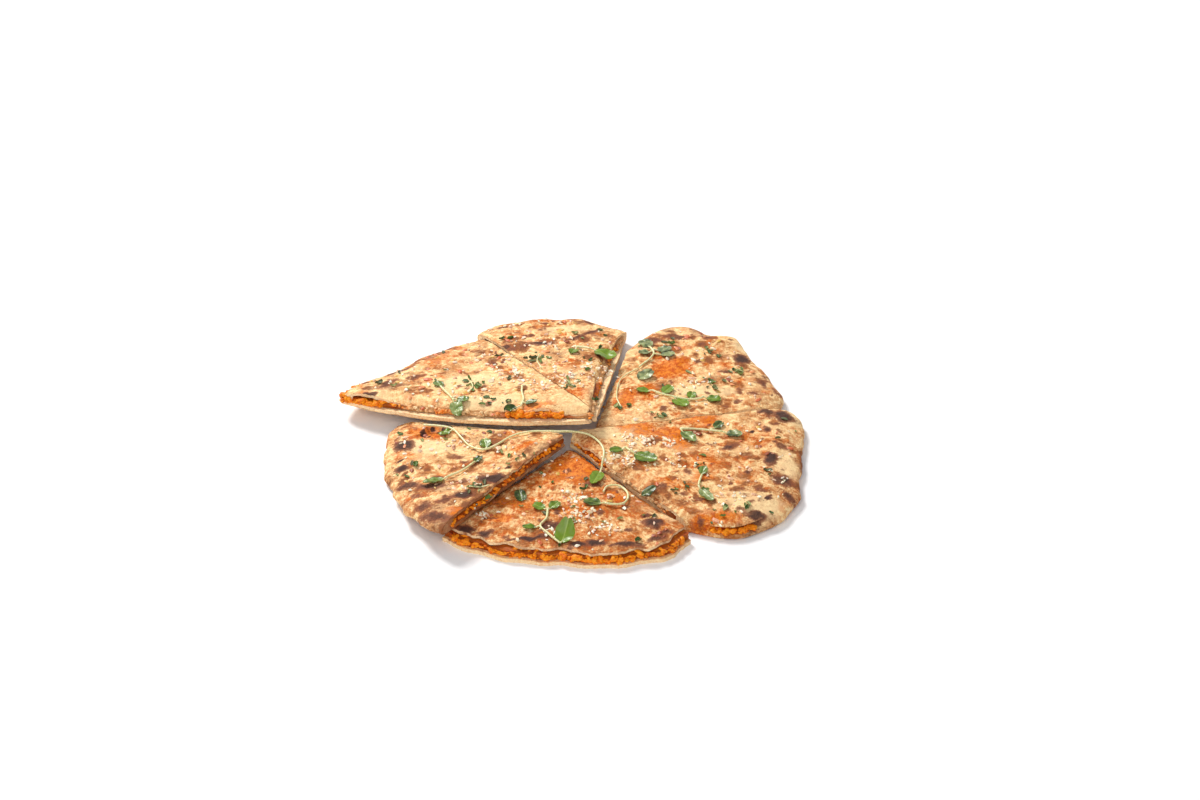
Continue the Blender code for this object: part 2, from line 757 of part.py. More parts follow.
def add_crumbs(breads, shapes, sprigs, surface):
    """Crumbs and flakes, spread evenly and clear of the sprigs, become one
    body with the crust they are baked onto."""
    taken = np.array([tuple(v.co / MM) for sprig in sprigs for v in sprig.data.vertices])[:, :2]
    draw = random.Random(11)
    for name, bread in breads.items():
        shape = shapes[name]
        bits = []
        placed = []
        for _ in range(400):
            if len(bits) == CRUMBS + FLAKES:
                break
            share = draw.uniform(0.1, 0.9)
            near, far = CRUMB_DEPTHS
            back = near + (far - near) * (1 - math.sqrt(draw.uniform(0, 1)))
            x, y = (float(v) for v in shape.plan(share, back))
            if np.hypot(taken[:, 0] - x, taken[:, 1] - y).min() < CRUMB_FROM_SPRIG:
                continue
            if any(math.hypot(x - a, y - b) < CRUMB_SPACING for a, b in placed):
                continue
            z = surface.height(x, y)
            own = float(shape.lift(share, np.array(x), np.array(y)))
            if abs(z - own - THICK) > 1.0:
                continue
            placed.append((x, y))
            bits.append(add_object("bit", crumb_mesh(x, y, z, draw, len(bits) >= CRUMBS), None))
        combine(bread, "UNION", bits)


def place(thing, parent):
    """Gives a piece its own origin, on the floor under its middle, and ties it
    to the empty that carries the whole flatbread."""
    corners = np.array([tuple(v.co) for v in thing.data.vertices])
    x, y = (corners.min(0) + corners.max(0))[:2] / 2
    thing.data.transform(Matrix.Translation((-x, -y, 0)))
    thing.location = (x, y, 0)
    thing.parent = parent


def build():
    dough = material("baked_dough", (0.78, 0.52, 0.28), 0.75)
    stuffing = material("spiced_chicken", (0.80, 0.26, 0.04), 0.6)
    shapes = shapes_of_slices()
    breads = {}
    fillings = []
    for name, shape in shapes.items():
        if name == OPEN_SLICE:
            breads[name] = build_open_bread(shape, dough, name)
        else:
            breads[name] = add_object("bread_" + name, mesh_from_rings(folded_sheet(shape)), dough)
        fillings.append(build_filling(shape, stuffing, name))
    cut_burst(breads[BURST["slice"]], shapes[BURST["slice"]])
    cut_tear(breads[TEAR["slice"]])
    surface = Surface([*breads.values(), *fillings])
    sprigs = build_sprigs(surface)
    add_crumbs(breads, shapes, sprigs, surface)
    middle = bpy.data.objects.new("flatbread", None)
    bpy.context.scene.collection.objects.link(middle)
    for thing in [thing for thing in bpy.data.objects if thing.type == "MESH"]:
        place(thing, middle)


for thing in list(bpy.data.objects):
    bpy.data.objects.remove(thing, do_unlink=True)
build()
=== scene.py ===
"""A round stuffed naan, cut in six slices, with chicken filling and cress.

The slices lie in a round on a pale floor. Lengths in the tables are in
millimetres and angles in degrees; meshes are made in metres.
"""

import math

import bmesh
import bpy
import numpy as np
from mathutils import Matrix, Vector
from mathutils.bvhtree import BVHTree


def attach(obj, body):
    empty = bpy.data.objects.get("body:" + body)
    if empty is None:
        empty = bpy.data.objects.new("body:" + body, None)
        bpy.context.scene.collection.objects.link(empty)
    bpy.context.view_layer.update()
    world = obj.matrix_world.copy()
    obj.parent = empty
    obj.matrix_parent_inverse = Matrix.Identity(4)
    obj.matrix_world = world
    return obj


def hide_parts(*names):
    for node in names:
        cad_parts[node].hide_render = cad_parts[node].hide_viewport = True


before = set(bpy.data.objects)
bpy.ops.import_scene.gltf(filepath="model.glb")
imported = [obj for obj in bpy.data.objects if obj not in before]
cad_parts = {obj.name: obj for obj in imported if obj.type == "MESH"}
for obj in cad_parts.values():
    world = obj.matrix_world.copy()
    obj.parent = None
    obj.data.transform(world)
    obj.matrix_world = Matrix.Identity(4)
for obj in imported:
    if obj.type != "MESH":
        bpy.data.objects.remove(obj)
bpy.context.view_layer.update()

# The baked crusts. Each slice is a thin round of dough folded over its filling
# and baked in a pan, so the outside is blistered, with dark spots where the
# blisters touched the hot iron. A knife has cut it in six.
MM = 0.001
THICK = 7.3
UNDER_SHEET = 1.9
UPPER_SHEET = 1.6
POCKET_FROM_RIM = 8.0
UNDER_FROM_RIM = 3.4
CRUST_FROM_RIM = 5.2
TIP_WIDTH = 2.0
RIM_ROUND = ((2.6, 0.0), (1.0, 0.5), (0.15, 1.5), (0.0, 2.5), (0.45, 3.7), (1.7, 4.7), (4.4, 5.7))
RIM_BLEND = 15.0
COLUMNS = 150
CRUST_ROWS = 126
RIM_ROWS = 20
UNDER_ROWS = 22
# Where the knife has pressed the crust down: how wide, how far in from the rim
# it starts, over what length it grows, and how much is missing where it is held up.
DROOP_WIDE = 7.0
DROOP_STARTS = 9.0
DROOP_GROWS = 14.0
HELD_UP = 0.85

# Each slice: its tip, the directions of its two cuts, how far the rim is from the
# tip, and how high the tip and the rim lie. Then for the first and the second
# cut: how far the crust has drawn back at the tip and midway (recess), how far
# the cut bows, how far the crust droops, and how ragged it is. held_up gives the
# cut, the place and the width where the crust doesn't droop.
SLICES = {
    "left": dict(
        tip=(11.9, -13.8), span=(120.6, 165.0), radii=(114, 113.8, 115.5, 114.8, 115.5, 123, 125),
        tip_lift=17.0, rim_lift=(0, 0, 1.2, 3.2, 6.2), recess=(-0.25, 4.5), bow=(0, 9.0),
        drawn_back=(-0.25, 2.4), droop=(0.0, 3.5), held_up=((1, 24, 8), (1, 116, 17)), ragged=(0.2, 1.0),
    ),
    "back": dict(
        tip=(12.6, -13.4), span=(82.0, 120.4), radii=(104, 111.5, 120, 121, 121.5, 122, 117),
        tip_lift=17.0, rim_lift=(2.0, 0, 0, 0, 1.0), recess=(4.0, -0.25), bow=(0, 0),
        drawn_back=(2.6, -0.25), droop=(2.7, 0.0), held_up=((0, 30, 8), (0, 88, 8)), ragged=(1.0, 0.2),
    ),
    "rear_right": dict(
        tip=(11.9, -8.4), span=(18.9, 79.1),
        radii=(91.8, 97.8, 100.7, 103.6, 106.4, 111.2, 120.1, 114.4, 117.2, 109, 87), tip_lift=4.0,
        rim_lift=(0, 0, 0), recess=(0.0, 0.1), bow=(0, 0), drawn_back=(0.0, 0.2), droop=(0.2, 1.2),
        held_up=(), ragged=(0.5, 0.5),
    ),
    "right": dict(
        tip=(-0.4, -13.3), span=(-50.0, 18.0),
        radii=(85, 101, 108, 111.5, 112, 109.5, 108.5, 108, 109, 113, 109), tip_lift=5.0,
        rim_lift=(0, 0, 0), recess=(0.3, 0.0), bow=(0, 0), drawn_back=(0.3, 0.0), droop=(2.9, 0.2),
        held_up=((0, 20, 8),), ragged=(1.0, 0.4),
    ),
    "front": dict(
        tip=(1.6, -16.8), span=(-129.0, -52.0), radii=(88.5, 89.5, 89, 88, 87.7, 89.9, 91.6, 92, 87),
        tip_lift=0.0, rim_lift=(0, 0, 0), recess=(0.6, 0.6), bow=(0, 0), drawn_back=(0.6, 0.4),
        droop=(0.8, 1.6), held_up=(), ragged=(1.0, 1.0),
    ),
    "front_left": dict(
        tip=(0.1, -18.8), span=(165.0, 235.5), radii=(84, 84, 84.5, 84.8, 85.5, 86.5, 89.5, 92.5, 94.5),
        tip_lift=8.9, rim_lift=(0, 0, 0, 0.8, 2.6, 5.8, 8.9), recess=(0.6, 0.4), bow=(0, 0),
        drawn_back=(0.8, 0.6), droop=(0.8, 1.0), held_up=(), ragged=(1.0, 1.2),
    ),
}

# The crust is torn open in one place. The fold has burst near one end of the
# right slice and gapes at the end of the left one: how far along and how wide.
TEAR = dict(slice="front_left", at=(-62.0, -11.5), half_size=(6.4, 4.5))
BURSTS = {"right": (0.125, 0.115), "left": (1.0, 0.15)}
BURST_DEEP = 5.0
BURST_LEVELS = (1.9, 5.3)
# The front slice has come open: how far its upper sheet stops short of the rim,
# and how far the lip sinks over its width. The lower sheet is plainer.
UPPER_FIRST = 3.8
LIP_SINKS = 0.9
LIP_WIDE = 14.0
LOWER_ROWS = 90

# Marks of the pan: where each lies, its length, its width, the way it runs,
# and how strong it is. Charred spots are dark brown, with a paler brown edge.
CHARRED = {
    "left": (
        (-85.8, 25, 14, 5, 65, 0.62), (-74, 34, 8, 5, 40, 0.6), (-82, 44.5, 15, 3, 40, 0.75),
        (-64.6, 65.8, 10, 3, 50, 0.6), (-94.0, 12.5, 5, 3, 20, 0.9),
    ),
    "back": (
        (-31.1, 63.2, 5, 4, 0, 0.72), (-22.1, 62.9, 4, 3, 0, 0.6), (-14.2, 66.2, 11, 4, 5, 0.8),
        (2.0, 73, 12, 3.2, 45, 0.72), (10.5, 82, 12, 3.2, 50, 0.7), (8.6, 96.2, 5, 3, 0, 0.8),
        (-26.5, 97.2, 6, 2.4, 10, 0.5),
    ),
    "rear_right": (
        (82.7, 64, 6.5, 8, 0, 0.9), (91.8, 41.6, 9, 4, 100, 0.62), (99, 35.5, 6, 4, 100, 0.5),
        (74.6, 50.6, 6, 3, 0, 0.6), (87.7, 30.1, 5, 3, 0, 0.55), (50.6, 83, 14, 4, -10, 0.6),
        (65.7, 83.8, 6, 3, -20, 0.6), (40, 79, 10, 6, 0, 0.55), (97.5, 54, 10, 2.5, 115, 0.62),
        (75, 93, 4, 6, 20, 0.75),
    ),
    "right": (
        (92.7, 14.1, 7.5, 5, 0, 0.82), (101.8, 11.8, 10, 9, -40, 1.0), (92.6, -3.6, 4, 4, 0, 0.7),
        (85.6, -4.6, 1.8, 1.6, 0, 1.3), (98.7, -15.4, 5, 4, 0, 0.6), (92.7, -26.8, 5.5, 8.5, 0, 0.95),
        (96.7, -43.1, 9, 8, 0, 0.72), (100, -56.4, 8, 4, -60, 0.75), (90.7, -59, 2.2, 1.6, 0, 1.4),
        (86.6, -54.1, 4, 4, 0, 0.5), (83.7, -71.6, 9, 4, 10, 0.8), (80.6, -58.5, 3.5, 3, 0, 0.45),
        (73.5, -19, 8, 3.5, 25, 0.75), (52, -58, 5, 3, 20, 0.4),
    ),
    "front_left": (
        (-75.5, -20.1, 9, 8, -30, 1.05), (-75.5, -40.1, 6, 3.6, 0, 0.95),
        (-76.5, -33.6, 4, 1.2, 40, 1.2), (-32.9, -58.7, 11, 6.5, 0, 1.0),
        (-45.8, -71.6, 7.5, 5.5, 0, 1.0), (-71, -55.5, 9, 5, -15, 0.72), (-60, -60, 14, 5, -12, 0.72),
        (-52.8, -74.9, 8, 3.6, 10, 0.6), (-63, -76.1, 7, 5, 0, 0.62), (-57.9, -87.3, 14, 6, -25, 0.68),
        (-50.1, -34.2, 5, 5, 0, 0.42), (-66, -67, 8, 4, -15, 0.5),
    ),
    "front": (
        (-44.5, -88, 8, 6.5, 0, 0.85), (-34.5, -90.6, 7, 4, 10, 0.8), (-16.4, -93.5, 13, 2.4, 5, 0.9),
        (-6.4, -82.7, 7, 6.5, 0, 0.7), (5.6, -97.9, 6, 3.4, 0, 1.0), (13.6, -96.5, 7, 4, 0, 1.1),
        (26.6, -97.5, 12, 3, 10, 0.85), (39.6, -92.4, 7, 3.4, 20, 0.72), (38.6, -80.8, 8, 6, 0, 0.85),
        (44.6, -86.4, 4.4, 3.2, 0, 0.6), (26.6, -85.7, 4, 3.4, 0, 0.6), (-9, -92, 7, 3, 0, 0.6),
        (54, -85, 8, 3, 35, 1.0), (12, -49, 8, 6, 0, 0.5),
    ),
}
# Where the spiced fat of the filling has soaked through the crust.
SOAKED = {
    "left": (
        (-29, 37.6, 9, 7, 0, 0.8), (-97, 14, 8, 4, 20, 0.9), (-64, 55, 22, 9, 45, 0.5),
        (-14, -3, 16, 7, 5, 0.85),
    ),
    "back": (
        (3.8, 6, 14, 10, 80, 0.75), (17, 36, 5, 16, 0, 0.7), (0, 40, 20, 12, 0, 0.4),
        (-12, 98, 24, 6, 5, 0.5),
    ),
    "rear_right": (
        (48.6, 51, 15, 19, -30, 1.15), (36.5, 29, 9, 12, 0, 0.8), (25.6, 18, 8, 20, -15, 0.95),
        (36.5, 21.5, 10, 6, 0, 0.7), (74, 56, 8, 6, 0, 0.7),
    ),
    "right": (
        (60.5, 4.0, 18, 12, 0, 0.95), (31.5, -7.4, 18, 14, 0, 0.95), (46.5, -10.1, 14, 10, 0, 1.0),
        (50.5, -19, 12, 10, 0, 0.95), (62, -33, 20, 14, 0, 0.65), (61.5, -44.7, 9, 5, 10, 0.85),
        (48, -52, 18, 9, -25, 0.6), (66, -76, 26, 8, 15, 0.85), (86, -10, 22, 20, 0, 0.5),
    ),
    "front_left": (
        (-62.5, -10, 20, 12, 0, 0.9), (-20, -30, 14, 5, 35, 0.75), (-48.8, -85, 9, 6, 0, 0.8),
        (-60, -68, 24, 5, -15, 0.5), (-72, -30, 12, 6, 0, 0.6),
    ),
    "front": (
        (3.6, -36.2, 20, 21, 0, 1.1), (-8, -46, 14, 12, 0, 0.7), (-29.4, -77.9, 12, 8, 0, 0.95),
        (-20, -66, 26, 16, 0, 0.6), (8, -70, 30, 14, 0, 0.6), (22, -60, 12, 8, 0, 0.75),
        (30, -75, 14, 8, 0, 0.55), (0, -90, 26, 8, 0, 0.5),
    ),
}
# How toasted, soaked and pale each slice is all over, how many small spots it
# has, and how toasted its two cut sides are. On the front left slice the second
# cut also gets painted shade, as its cut face lies in shadow.
BAKE = {
    "left": dict(toast=0.42, soak=0.10, pale=0.34, spots=34, cut_toast_and_shade=(0, -0.5)),
    "back": dict(toast=0.46, soak=0.14, pale=0.27, spots=38, cut_toast_and_shade=(-0.3, 0)),
    "rear_right": dict(toast=0.46, soak=0.16, pale=0.25, spots=44, cut_toast_and_shade=(0, 0)),
    "right": dict(toast=0.45, soak=0.22, pale=0.24, spots=54, cut_toast_and_shade=(0, 0)),
    "front_left": dict(toast=0.47, soak=0.12, pale=0.34, spots=32, cut_toast_and_shade=(0, 0.75)),
    "front": dict(toast=0.58, soak=0.34, pale=0.10, spots=46, cut_toast_and_shade=(0.5, 0.4)),
}
# Where the dough stayed pale: a raised flap at the rim, floury patches.
PALE_FLAP = (106.0, 14.5, 8.0, 14.5, -10, 1.6)
PALE = {
    "left": ((-50, 25, 26, 12, 20, 0.7), (-36, 2, 22, 9, 5, 0.9)),
    "back": ((-4, 84, 20, 8, 10, 0.5),),
    "rear_right": ((88, 78, 16, 12, -40, 0.9), (62, 30, 26, 8, 10, 0.8)),
    "right": (
        PALE_FLAP, (20, -12, 16, 8, 0, 0.7), (84, -64, 22, 12, 0, 0.9), (100, -30, 10, 22, 0, 0.6),
    ),
    "front_left": ((-46, -8, 22, 8, -5, 0.9), (-62, -24, 18, 7, -15, 0.8)),
    "front": ((46, -74, 18, 8, -25, 0.6),),
}


def spread(values, t):
    """A smooth curve through evenly spaced values, for t from 0 to 1."""
    v = np.asarray(values, float)
    last = len(v) - 1
    t = np.clip(np.asarray(t, float), 0, 1) * last
    i = np.minimum(t.astype(int), last - 1)
    k = t - i
    v = np.concatenate([[2 * v[0] - v[1]], v, [2 * v[-1] - v[-2]]])
    a, b, c, d = v[i], v[i + 1], v[i + 2], v[i + 3]
    square = 2 * a - 5 * b + 4 * c - d
    cube = 3 * b - a - 3 * c + d
    return 0.5 * (2 * b + (c - a) * k + square * k**2 + cube * k**3)


def grain(x, y, size, seed):
    """Smooth unevenness from -1 to 1 that changes every `size` millimetres."""
    table = np.random.default_rng(seed).uniform(-1, 1, (128, 128))
    gx, gy = np.broadcast_arrays(np.asarray(x, float) / size, np.asarray(y, float) / size)
    i, j = np.floor(gx).astype(int), np.floor(gy).astype(int)
    fx, fy = gx - i, gy - j
    fx, fy = fx * fx * (3 - 2 * fx), fy * fy * (3 - 2 * fy)
    low = table[i % 128, j % 128] * (1 - fx) + table[(i + 1) % 128, j % 128] * fx
    high = table[i % 128, (j + 1) % 128] * (1 - fx) + table[(i + 1) % 128, (j + 1) % 128] * fx
    return low * (1 - fy) + high * fy


def swell(x, y):
    """Soft ups and downs of the crust of a slice."""
    slow = np.sin(x / 11 + 1.3 * np.sin(y / 19)) * np.cos(y / 9 + 0.8)
    quick = np.sin(x / 5.3 + y / 8.1 + 2.0) * np.sin(y / 4.7 - x / 9.7)
    return 0.28 * slow + 0.22 * quick


def cut_angles(form):
    """The directions of the two cut sides of a slice."""
    return np.radians(form["span"])


def rim_of(form, u):
    """The rim at the share u from one cut to the other: x, y, how far from the tip."""
    start, end = cut_angles(form)
    angle = start + (end - start) * u
    wave = 0.5 * np.sin(angle * 31 + start) + 0.4 * np.sin(angle * 17 + 1)
    ragged = 0.4 * grain(angle * 100, start * 50, 5.0, 21) + 0.28 * grain(angle * 100, start * 50, 1.9, 22)
    away = spread(form["radii"], u) + wave + ragged
    return form["tip"][0] + away * np.cos(angle), form["tip"][1] + away * np.sin(angle), away


def drawn_tip(form, drawn_back):
    """The tip of a sheet that keeps these distances to the two cut sides."""
    start, end = cut_angles(form)
    from_start, from_end = (side / math.sin(end - start) for side in drawn_back)
    x = form["tip"][0] + from_end * math.cos(start) + from_start * math.cos(end)
    y = form["tip"][1] + from_end * math.sin(start) + from_start * math.sin(end)
    return x, y


def plan(form, u, back, drawn_back=(0, 0), recess=(0, 0)):
    """A point `back` in from the rim on column u, and short of the cut sides."""
    rim_x, rim_y = rim_of(form, u)[:2]
    tip_x, tip_y = drawn_tip(form, drawn_back)
    along = 1 - back / np.hypot(rim_x - tip_x, rim_y - tip_y)
    x = tip_x + (rim_x - tip_x) * along
    y = tip_y + (rim_y - tip_y) * along
    belly = np.clip(4 * along * (1 - along), 0, 1)
    for side, (angle, near, turn) in enumerate(zip(cut_angles(form), ((1 - u) ** 3, u**3), (1, -1))):
        inwards = (recess[side] - form["bow"][side] * (along > 0)) * near * belly * turn
        x = x - inwards * np.sin(angle)
        y = y + inwards * np.cos(angle)
    return x, y


def lift(form, u, x, y):
    """Height of the underside."""
    away = rim_of(form, u)[2]
    out = np.clip(np.hypot(x - form["tip"][0], y - form["tip"][1]) / away, 0, 1)
    rim_lift = spread(form["rim_lift"], u)
    return form["tip_lift"] + (rim_lift - form["tip_lift"]) * out


def droop(form, u, back, x, y):
    """How far the crust sags where the knife has pressed it down."""
    start, end = cut_angles(form)
    out = np.hypot(x - form["tip"][0], y - form["tip"][1])
    inland = np.clip((back - DROOP_STARTS) / DROOP_GROWS, 0, 1)
    total = 0.0
    for side, share in enumerate((u, 1 - u)):
        away = share * (end - start) * out
        uneven = 1 + 0.14 * grain(out, 0, 7.0, 65 + side) + 0.1 * grain(out, 0, 2.6, 67 + side)
        for held_side, where, wide in form["held_up"]:
            if held_side == side:
                uneven = uneven * (1 - HELD_UP * np.exp(-(((out - where) / wide) ** 2)))
        total = total + form["droop"][side] * uneven * np.clip(1 - away / DROOP_WIDE, 0, 1) ** 2
    return total * inland


def crust_level(back, x, y):
    """Height of the crust over the underside, rounded towards the rim."""
    edge_back, edge_high = RIM_ROUND[-1]
    rise = np.clip((back - edge_back) / (RIM_BLEND - edge_back), 0, 1)
    rise = rise * (2 - rise)
    return edge_high + (THICK - edge_high + swell(x, y)) * rise


def spot(x, y, mark):
    """How strongly a mark shows at a point: 1 in its middle, half at its edge."""
    cx, cy, long, wide, turn, strength = mark
    turn = math.radians(turn)
    along = ((x - cx) * math.cos(turn) + (y - cy) * math.sin(turn)) / (0.5 * long)
    across = ((y - cy) * math.cos(turn) - (x - cx) * math.sin(turn)) / (0.5 * wide)
    return strength * np.clip(1.45 - 0.8 * np.hypot(along, across), 0, 1)


def crumple(x, y):
    """Moves points about a little, so that marks get uneven outlines."""
    dx = 1.3 * grain(x, y, 5.0, 31) + 0.7 * grain(x, y, 1.9, 32)
    dy = 1.3 * grain(x, y, 5.0, 33) + 0.7 * grain(x, y, 1.9, 34)
    return x + dx, y + dy


def by_chance(draw, form, edge, near, deep, least):
    """A point on a slice, as likely in one place as in another."""
    u = draw.uniform(edge, 1 - edge)
    x, y = plan(form, u, near + deep * (1 - math.sqrt(draw.uniform(least, 1))))
    return float(x), float(y)


def pan_spots(name, count, low, high, strength, seed):
    """Many small marks spread by chance over a slice."""
    draw = np.random.default_rng(seed)
    marks = []
    for _ in range(count):
        place = by_chance(draw, SLICES[name], 0.04, 2, 84, 0.03)
        size = draw.uniform(low, high)
        wide = size * draw.uniform(0.5, 1.0)
        marks.append((*place, size, wide, draw.uniform(0, 180), strength * draw.uniform(0.6, 1.1)))
    return marks


def strongest(x, y, *marks):
    """How strongly the strongest of the marks shows at each point."""
    best = np.zeros_like(x)
    for mark in marks:
        best = np.maximum(best, spot(x, y, mark))
    return best


def bake_marks(name, x, y):
    """Charred, toasted, soaked and pale shares at each point of a crust."""
    form, bake = SLICES[name], BAKE[name]
    spots = bake["spots"]
    seed = sorted(SLICES).index(name) * 10
    wx, wy = crumple(x, y)
    char = strongest(wx, wy, *CHARRED[name], *pan_spots(name, spots // 2, 1.6, 4.2, 0.62, 100 + seed))
    toast = bake["toast"] + 0.24 * grain(x, y, 9.0, 41 + seed) + 0.2 * grain(x * 0.6, y, 3.6, 42 + seed)
    toast = np.maximum(toast, strongest(wx, wy, *pan_spots(name, 2 * spots, 3.0, 8.5, 1.0, 101 + seed)))
    fat = strongest(wx, wy, *SOAKED[name], *pan_spots(name, spots, 2.0, 6.0, 0.6, 102 + seed))
    soak = np.maximum(bake["soak"] + 0.18 * grain(x, y, 7.0, 43 + seed), fat)
    hole = torn(name, x, y, 1.15)
    soak = np.maximum(soak, 1.5 * hole)
    char = char * (1 - hole) + 0.9 * hole * (grain(x, y, 2.4, 59) > 0.25)
    pale = bake["pale"] + 0.3 * grain(x, y, 11.0, 44 + seed) + 0.15 * grain(x, y, 4.0, 45 + seed)
    floury = strongest(wx, wy, *PALE[name])
    toast = toast - 0.45 * floury
    char = char * (1 - np.clip(floury - 0.8, 0, 1))
    # Toasting along the cuts. On the front left slice it is also painted shade on the cut face that lies in
    # shadow.
    for side, angle in enumerate(cut_angles(form)):
        off = np.abs((x - form["tip"][0]) * math.sin(angle) - (y - form["tip"][1]) * math.cos(angle))
        near = bake["cut_toast_and_shade"][side] * np.clip(1 - off / 3.5, 0, 1)
        toast = toast + near * (1 + 0.5 * grain(x, y, 2.5, 46))
    return np.clip(np.stack([char, toast, soak, pale + floury], -1), 0, 1.5)


def relief(name, x, y, char):
    """Blisters, pits and creases that stand out of the crust."""
    bumps = 0.26 * grain(x, y, 5.5, 51) + 0.24 * grain(x, y, 2.6, 52) + 0.17 * grain(x, y, 1.4, 53)
    crease = np.clip(1 - 5 * np.abs(grain(x + 3 * grain(x, y, 9, 54), y, 8.0, 55)), 0, 1)
    blister = 0.5 * np.clip(char - 0.35, 0, 0.6)
    flap = 1.5 * spot(x, y, PALE_FLAP) if name == "right" else 0.0
    return bumps - 0.22 * crease + blister + flap - 1.9 * torn(name, x, y) + 0.35 * torn(name, x, y, 1.3)


def torn(name, x, y, wider=1.0):
    """1 inside the hole torn in the crust of the front left slice."""
    if name != TEAR["slice"]:
        return 0.0 * x
    (cx, cy), (long, wide) = TEAR["at"], TEAR["half_size"]
    turn = np.arctan2(y - cy, x - cx)
    edge = wider * (1 + 0.16 * grain(turn * 3, 0, 1.0, 56) + 0.1 * grain(turn * 9, 0, 1.0, 57))
    return np.clip(4 * (edge - np.hypot((x - cx) / long, (y - cy) / wide)) + 0.5, 0, 1)


def thick_skin(outer, inner, levels, side_push=lambda *where: 0.0):
    """A closed skin between two grids of points, and the share from outer to
    inner of each point. side_push moves the points of the cut faces outwards."""
    n, m = outer.shape[:2]
    bi = np.concatenate([np.arange(n), np.full(m - 1, n - 1), np.arange(n - 2, -1, -1), np.zeros(m - 2, int)])
    bj = np.concatenate([np.zeros(n, int), np.arange(1, m), np.full(n - 1, m - 1), np.arange(m - 2, 0, -1)])
    steps = [k / levels for k in range(1, levels)]
    verts = [outer.reshape(-1, 3), inner.reshape(-1, 3)]
    for t in steps:
        points = outer[bi, bj] * (1 - t) + inner[bi, bj] * t
        verts.append(points + side_push(t, points, bi, bj))
    share = np.concatenate([np.zeros(n * m), np.ones(n * m), np.repeat(steps, len(bi))])
    index = np.arange(n * m).reshape(n, m)
    quads = np.stack([index[:-1, :-1], index[1:, :-1], index[1:, 1:], index[:-1, 1:]], -1).reshape(-1, 4)
    faces = [quads, quads[:, ::-1] + n * m]
    rings = [2 * n * m + len(bi) * k + np.arange(len(bi)) for k in range(levels - 1)]
    rows = [index[bi, bj], *rings, index[bi, bj] + n * m]
    for low, high in zip(rows, rows[1:]):
        faces.append(np.stack([low, high, np.roll(high, -1), np.roll(low, -1)], -1)[:, ::-1])
    return np.concatenate(verts), np.concatenate(faces), share


def outwards(verts, faces):
    """The faces of a closed skin, turned outwards."""
    a, b, c, d = (verts[faces[:, k]] for k in range(4))
    volume = np.einsum("ij,ij->i", a, np.cross(b, c)).sum() + np.einsum("ij,ij->i", a, np.cross(c, d)).sum()
    return faces[:, ::-1] if volume < 0 else faces


def mesh_piece(name, verts, faces, sharp=None):
    """A smooth mesh object from millimetre points, with creases over `sharp` degrees."""
    data = bpy.data.meshes.new(name)
    data.from_pydata((verts * MM).tolist(), [], faces)
    data.update()
    data.shade_smooth()
    if sharp:
        data.set_sharp_from_angle(angle=math.radians(sharp))
    piece = bpy.data.objects.new(name, data)
    bpy.context.scene.collection.objects.link(piece)
    return piece


def paint(piece, name, values):
    """Keeps a value, or four, with each point of a mesh."""
    values = np.asarray(values, np.float32)
    kind = "FLOAT" if values.ndim == 1 else "FLOAT_COLOR"
    store = piece.data.attributes.new(name, kind, "POINT")
    store.data.foreach_set("value" if values.ndim == 1 else "color", values.ravel())


def columns_of(count):
    """Columns across a slice, closer together near the cuts."""
    t = np.linspace(0, 1, count)
    return t - 0.075 * np.sin(2 * np.pi * t)


def shorter(form, u, drawn_back, first, rows):
    """Distances in from the rim: from `first` to just short of the tip."""
    rim_x, rim_y = rim_of(form, u)[:2]
    tip_x, tip_y = drawn_tip(form, drawn_back)
    long = np.hypot(rim_x - tip_x, rim_y - tip_y) - TIP_WIDTH
    return first + (long - first) * np.linspace(0, 1, rows)[:, None]


def ragged_cut(form, u, x, y):
    """The knife tears the crust a little along its cuts."""
    start, end = cut_angles(form)
    out = np.hypot(x - form["tip"][0], y - form["tip"][1])
    for side, angle, turn in ((0, start, 1), (1, end, -1)):
        away = (u if side == 0 else 1 - u) * (end - start) * out
        weight = np.clip(1 - away / 2.6, 0, 1)
        along = out + 40 * side
        torn_back = 0.28 + 0.34 * grain(along, 0, 2.9, 61) + 0.22 * grain(along, 0, 0.9, 62)
        inwards = form["ragged"][side] * torn_back * weight * turn
        x = x - inwards * np.sin(angle)
        y = y + inwards * np.cos(angle)
    return x, y


def flaky(t, points):
    """How far the torn dough of a cut face stands out."""
    along = np.hypot(points[:, 0], points[:, 1])
    return 0.22 * grain(along, 9 * t, 1.3, 63) + 0.16 * grain(along, 9 * t, 0.7, 64) - 0.1


def pushed_out(form, rough, rim=False):
    """Makes the cut sides of a skin rough rather than flat, and its rim too."""
    start, end = cut_angles(form)

    def push(t, points, bi, bj):
        angle = np.arctan2(points[:, 1] - form["tip"][1], points[:, 0] - form["tip"][0])
        sides = [bj == 0, bj == bj.max(), (bi == 0) & rim]
        out_x = np.select(sides, [np.sin(start), -np.sin(end), np.cos(angle)], 0.0)
        out_y = np.select(sides, [-np.cos(start), np.cos(end), np.sin(angle)], 0.0)
        deep = rough(t, points)
        return np.stack([out_x * deep, out_y * deep, 0 * out_x], -1)

    return push


def both_sheets(form, u, back, share):
    """Places from the plan of the underside, share 0, to that of the crust, 1."""
    low_x, low_y = plan(form, u, back)
    top_x, top_y = plan(form, u, back, form["drawn_back"], form["recess"])
    return ragged_cut(form, u, low_x * (1 - share) + top_x * share, low_y * (1 - share) + top_y * share)


